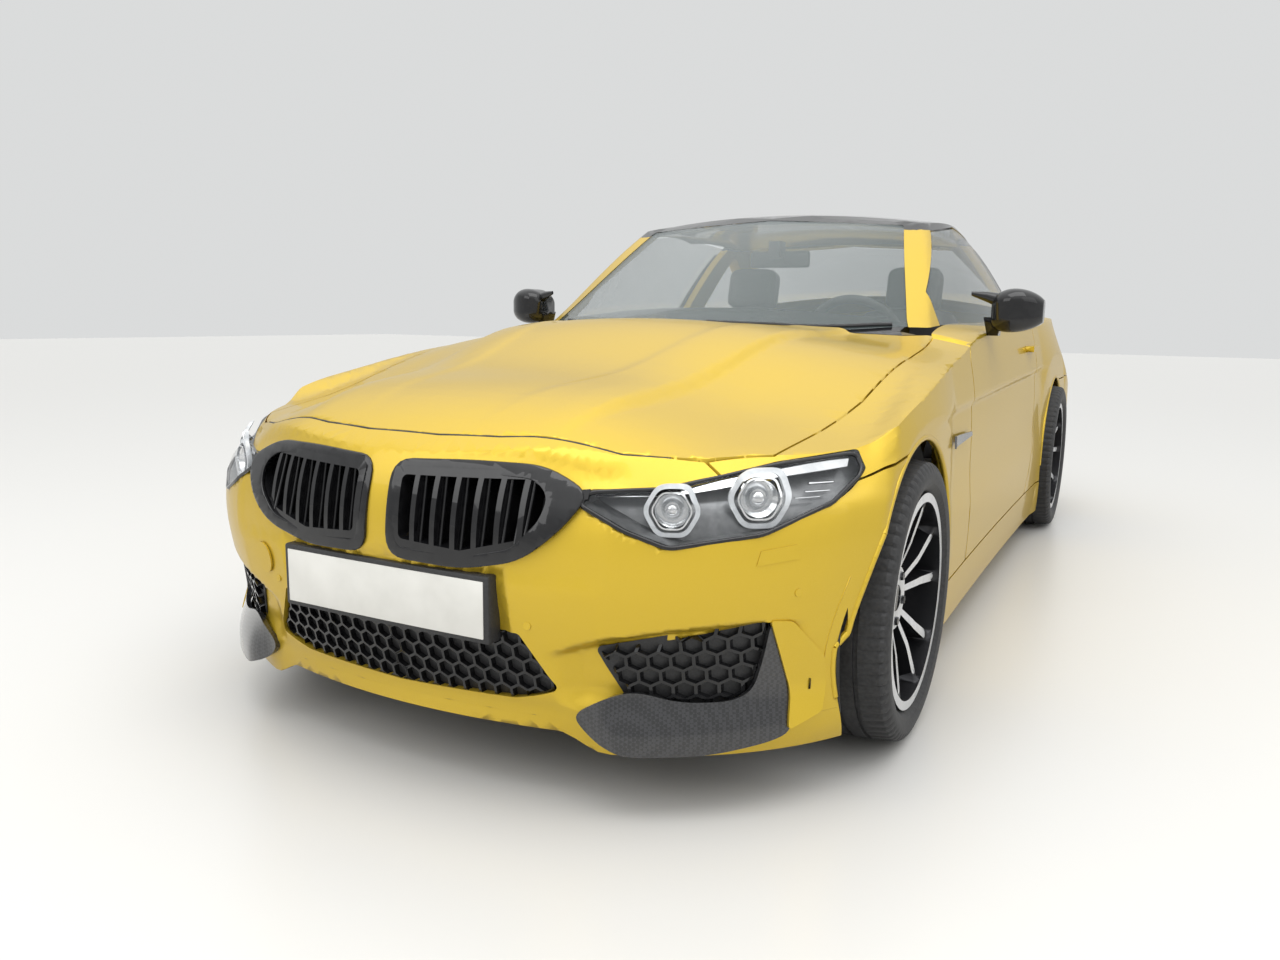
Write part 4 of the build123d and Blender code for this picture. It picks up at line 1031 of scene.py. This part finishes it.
def mirrorGlasses():
    wide, tall = mirrorLook["half"]
    for name, side in (("left", 1), ("right", -1)):
        low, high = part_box("mirror_" + name)
        middle = (low[2] + high[2]) / 2 + mirrorLook["up"]
        bm = bmesh.new()
        lie = Matrix.Rotation(math.radians(90), 4, "X")
        bmesh.ops.create_circle(bm, cap_ends=True, segments=32, radius=1, matrix=lie)
        for vert in bm.verts:
            x, z = side * mirrorLook["x"] + vert.co.x * wide, middle + vert.co.z * tall
            vert.co = Vector((x, high[1] + mirrorLook["behind"], z))
        bmesh.ops.solidify(bm, geom=bm.faces[:], thickness=mirrorLook["thick"])
        bmesh.ops.recalc_face_normals(bm, faces=bm.faces)
        addPiece("mirrorGlass_" + name, bm, "chrome", "door_" + name, "gloss_black")


def fenderGills():
    gill = bmesh.new()
    place = sidePlace(surfaceOf("front_fenders"))
    layOn(gill, gillLook["outline"], place, gillLook["step"], gillLook["lift"], gillLook["thick"])
    mirrorX(gill)
    addPiece("fenderGills", gill, "darkChrome", "body", "black_plastic")


# pointed inner arms of the mirrors
hornLook = {
    "path": ((0.795, 1.845, 1.058), (0.840, 1.865, 1.048), (0.890, 1.890, 1.032), (0.950, 1.905, 1.014)),
    "sizes": (0.007, 0.036),
}


def mirrorHorns():
    sizes = steps(*hornLook["sizes"], len(hornLook["path"]) - 1)
    for name, side in (("left", 1), ("right", -1)):
        bm = bmesh.new()
        loops = []
        for (x, d, z), size in zip(hornLook["path"], sizes):
            lie = Matrix.Translation((side * x, noseY + d, z)) @ Matrix.Rotation(math.radians(90), 4, "Y")
            loops.append(loopEdges(bmesh.ops.create_circle(bm, segments=16, radius=size, matrix=lie)))
        for first, second in zip(loops, loops[1:]):
            bmesh.ops.bridge_loops(bm, edges=first + second)
        bmesh.ops.holes_fill(bm, edges=[e for e in bm.edges if e.is_boundary])
        bmesh.ops.recalc_face_normals(bm, faces=bm.faces)
        addPiece("mirrorHorn_" + name, bm, "gloss", "door_" + name, "gloss_black", 50)


# rolled lips of the wheel arches: axle's place, then the angles that the lip spans
archLook = {
    "front": (-1.5345, 0.3305, 12, 200), "rear": (1.2775, 0.3375, -4, 180), "steps": 48,
    "reach": (0.335, 0.470), "tries": 90, "outside": 0.80, "size": 0.0075, "inset": 0.004,
    "slot": (0.374, 0.425, 160, 192), "slotStep": 0.02, "slotLift": -0.0015, "slotThick": 0.003,
}


def archSpot(tree, y, z, reach, angle):
    return fromLeft(tree, y + reach * math.cos(angle), z + reach * math.sin(angle))


def fillSlot(bm, tree):
    # closes most of the slot between the front bumper and the arch's lip, just under the skin
    y, z = archLook["front"][:2]
    low, high, start, end = archLook["slot"]
    arc = [math.radians(a) for a in steps(start, end, 10)]
    outline = [(y + low * math.cos(a), z + low * math.sin(a)) for a in arc]
    outline += [(y + high * math.cos(a), z + high * math.sin(a)) for a in reversed(arc)]

    def place(u, v, lift):
        reach, angle = max(math.hypot(u - y, v - z), high), math.atan2(v - z, u - y)
        spot = archSpot(tree, y, z, reach, angle)
        return Vector(((spot.x if spot else slotSpare) + lift, u, v))

    layOn(bm, outline, place, archLook["slotStep"], archLook["slotLift"], archLook["slotThick"])


def archLips():
    tree = surfaceOf("front_bumper", "front_fenders", "quarter_panels", "rear_bumper", "sills")
    bm = bmesh.new()
    fillSlot(bm, tree)
    for key in ("front", "rear"):
        y, z, first, last = archLook[key]
        path = []
        for angle in steps(math.radians(first), math.radians(last), archLook["steps"]):
            for reach in steps(*archLook["reach"], archLook["tries"]):
                spot = archSpot(tree, y, z, reach, angle)
                if spot and spot.x > archLook["outside"]:
                    path.append((reach, angle, spot.x))
                    break
        for n in range(1, len(path) - 1):
            middle = sorted(path[m][0] for m in (n - 1, n, n + 1))[1]
            path[n] = (middle, path[n][1], path[n][2])
        run = [(x - archLook["inset"], y + r * math.cos(a), z + r * math.sin(a)) for r, a, x in path]
        rodAlong(bm, run, archLook["size"])
    mirrorX(bm)
    addPiece("archLips", bm, "paint", "body", "paint", 60)


# dark trim on the middle pillar
trimLook = {"pillar": [(0.580, 0.985), (0.620, 1.270), (0.700, 1.258), (0.700, 0.985)],
            "step": 0.03, "lift": 0.001, "thick": 0.003}


def pillarTrims():
    place = sidePlace(surfaceOf("door_glass_left", "door_left", "roof_frame", "quarter_windows",
                                "quarter_panels"))
    trim = bmesh.new()
    layOn(trim, trimLook["pillar"], place, trimLook["step"], trimLook["lift"], trimLook["thick"])
    mirrorX(trim)
    addPiece("pillarTrims", trim, "gloss", "body", "gloss_black", 40)


# seats: crowned pads with bolsters and sewn channels, over a moulded base
# each pad has its middle (back, up), its halves along the three axes, and its lean
seatLook = {
    "front": {"x": 0.371, "channels": (-0.45, -0.15, 0.15, 0.45),
              "cushion": ((2.385, 0.352), (0.235, 0.232, 0.080), -6.0),
              "back": ((2.765, 0.695), (0.228, 0.335, 0.066), 71.0),
              "head": ((2.902, 1.100), (0.118, 0.092, 0.052), 76.0),
              "base": (0.20, (2.17, 2.62), (0.170, 0.300))},
    "rear": {"x": 0.305, "channels": (-0.3, 0.0, 0.3),
             "cushion": ((3.255, 0.500), (0.275, 0.175, 0.058), -4.0),
             "back": ((3.580, 0.735), (0.275, 0.215, 0.060), 65.0), "head": None,
             "base": (0.27, (3.10, 3.42), (0.474, 0.490))},
    "cuts": 26, "round": 5.0, "bolster": 0.030, "bolsterFrom": 0.62, "seam": 0.0055, "seamWide": 0.009,
    "pipeAt": 0.64, "narrow": 0.15, "waist": 0.035, "pull": 0.02, "topFrom": 0.3, "crown": 0.006,
    "baseSoft": 0.007, "posts": ((2.855, 0.98), (2.885, 1.08)), "postGap": 0.05, "postSize": 0.006,
}


def pad(name, x, middle, half, lean, channels, slotName, node):
    d, z = middle
    bm = bmesh.new()
    bmesh.ops.create_cube(bm, size=2)
    bmesh.ops.subdivide_edges(bm, edges=bm.edges[:], cuts=seatLook["cuts"], use_grid_fill=True)
    n, side, width = seatLook["round"], seatLook["bolsterFrom"], seatLook["seamWide"]
    wide = half[0] > seatLook["narrow"]
    tilt = Matrix.Rotation(math.radians(lean), 4, "X")
    for vert in bm.verts:
        u, v, w = vert.co
        shrink = (abs(u) ** n + abs(v) ** n + abs(w) ** n) ** (-1 / n)
        u, v, w = u * shrink, v * shrink, w * shrink
        waist, pull = 1 - seatLook["waist"] * (1 - v * v), 1 - seatLook["pull"] * (1 - u * u)
        local = Vector((u * half[0] * waist, v * half[1] * pull, w * half[2]))
        if w > seatLook["topFrom"]:
            rise = seatLook["bolster"] * max(0.0, abs(u) - side) / (1 - side) if wide else 0.0
            sewn = sum(math.exp(-((v - c) * half[1] / width) ** 2) for c in channels) if abs(u) < side else 0
            pipe = math.exp(-((abs(u) - seatLook["pipeAt"]) * half[0] / width) ** 2) if wide else 0
            local.z += rise + seatLook["crown"] * (1 - u * u) - seatLook["seam"] * min(1, sewn + pipe)
        vert.co = tilt @ local + Vector((x, noseY + d, z))
    bmesh.ops.recalc_face_normals(bm, faces=bm.faces)
    piece = addPiece(name, bm, "leather", "body", slotName, 60)
    if node:
        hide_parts(node)


def seatStand(row, label, x):
    # moulded base under a pad, and the two posts of a head rest
    half, alongSpan, heightSpan = seatLook[row]["base"]
    base = bmesh.new()
    boxAt(base, ((x - half, x + half), alongSpan, heightSpan))
    softenEdges(base, seatLook["baseSoft"], 3)
    addPiece(row + "Base" + label, base, "matt", "body", "black_plastic")
    if seatLook[row]["head"]:
        posts = bmesh.new()
        for shift in (-seatLook["postGap"], seatLook["postGap"]):
            rodAlong(posts, [(x + shift, noseY + d, z) for d, z in seatLook["posts"]], seatLook["postSize"])
        addPiece(row + "Posts" + label, posts, "chrome", "body", "steel")


def seats():
    for row, node in (("front", "front_seats"), ("rear", "rear_seat")):
        look = seatLook[row]
        for side, label in ((1, "Left"), (-1, "Right")):
            x = side * look["x"]
            for part in ("cushion", "back", "head"):
                if look[part]:
                    channels = look["channels"] if part != "head" else ()
                    stands = node if part == "cushion" and side > 0 else None
                    pad(row + part.capitalize() + label, x, *look[part], channels, "upholstery", stands)
            seatStand(row, label, x)


# dashboard's screens, centre console, inner mirror: spans of x, back from the nose, and z
cabinLook = {
    "screen": ((-0.15, 0.15), (1.925, 1.938), (0.905, 1.005)),
    "cluster": ((0.24, 0.52), (1.88, 1.905), (0.905, 0.985)), "screenSoft": 0.004,
    "console": ((-0.105, 0.105), (2.00, 2.95), (0.31, 0.40)), "consoleSoft": 0.02,
    "mirror": ((-0.12, 0.12), (2.225, 2.252), (1.165, 1.228)), "mirrorSoft": 0.011,
    "stalk": ((-0.022, 0.022), (2.17, 2.235), (1.20, 1.262)),
}


def cabinParts():
    for name in ("screen", "cluster"):
        bm = bmesh.new()
        boxAt(bm, cabinLook[name])
        softenEdges(bm, cabinLook["screenSoft"])
        addPiece("dash" + name.capitalize(), bm, "gloss", "body", "gloss_black")
    console = bmesh.new()
    boxAt(console, cabinLook["console"])
    softenEdges(console, cabinLook["consoleSoft"], 3)
    addPiece("centreConsole", console, "matt", "body", "black_plastic")
    mirror = bmesh.new()
    boxAt(mirror, cabinLook["mirror"])
    softenEdges(mirror, cabinLook["mirrorSoft"], 3)
    boxAt(mirror, cabinLook["stalk"])
    addPiece("cabinMirror", mirror, "matt", "body", "black_plastic")


# wipers resting on the windscreen's foot
wiperLook = {
    "left": (0.06, 0.60), "right": (-0.56, -0.02), "shift": (0, 0.012, 0.009), "size": 0.006,
    "arm": (0, 0.006, -0.004), "armSize": 0.005, "search": (1.40, 2.00),
}


def wipers():
    tree = surfaceOf("windscreen")

    def foot(x):
        hits = (fromAbove(tree, x, noseY + d) for d in steps(*wiperLook["search"], 120))
        return next((hit for hit in hits if hit), None)

    for name in ("left", "right"):
        bm = bmesh.new()
        spots = [foot(x) for x in steps(*wiperLook[name], 12)]
        run = [spot + Vector(wiperLook["shift"]) for spot in spots if spot]
        rodAlong(bm, run, wiperLook["size"])
        rodAlong(bm, [spot + Vector(wiperLook["arm"]) for spot in run[::4]], wiperLook["armSize"])
        addPiece("wiper_" + name, bm, "matt", "body", "black_plastic")


# tail: plate, and upright fins under it
tailLook = {
    "plate": (0.26, 0.560, 0.672), "plateOut": 0.001, "plateThick": 0.012, "plateSoft": 0.0015,
    "fins": (-0.30, -0.18, -0.06, 0.06, 0.18, 0.30), "finHalf": 0.004, "finSpan": (-0.01, 0.010),
    "finHeight": (0.16, 0.30), "finRead": (0.18, 0.28), "finSoft": 0.002,
}


def tailPieces():
    tree = surfaceOf("rear_bumper", "boot_lid", "diffuser", "boot_lamps")
    half, low, high = tailLook["plate"]
    spots = [fromBehind(tree, x, z) for x in (0, half) for z in (low, high)]
    back = max(spot.y for spot in spots if spot) + tailLook["plateOut"]
    bm = bmesh.new()
    box(bm, (-half, back - tailLook["plateThick"], low), (half, back, high))
    softenEdges(bm, tailLook["plateSoft"])
    addPiece("plateRear", bm, "plate", "body", "gloss_black")
    fins = bmesh.new()
    (front, rear), (foot, top) = tailLook["finSpan"], tailLook["finHeight"]
    z1, z2 = tailLook["finRead"]
    for x in tailLook["fins"]:
        low, high = fromBehind(tree, x, z1), fromBehind(tree, x, z2)
        if low and high:
            thin = tailLook["finHalf"]
            for vert in box(fins, (x - thin, front, foot), (x + thin, rear, top)):
                vert.co.y += low.y + (high.y - low.y) * (vert.co.z - z1) / (z2 - z1)
    softenEdges(fins, tailLook["finSoft"])
    addPiece("diffuserFins", fins, "gloss", "body", "black_plastic")


setCamera()
paleGround()
smoothCopies()
report("frame dressed")
honeycomb()
headlightParts()
tyres()
report("front and tyres done")
nosePieces()
bonnetGapShade()
grilleFrames()
cornerBlades()
wheelDetails()
mirrorGlasses()
fenderGills()
mirrorHorns()
archLips()
pillarTrims()
seats()
cabinParts()
wipers()
tailPieces()
report("small parts done")
bpy.context.scene.view_settings.view_transform = "Standard"
paleStudio()
for lamp in view["lamps"]:
    softLamp(*lamp)
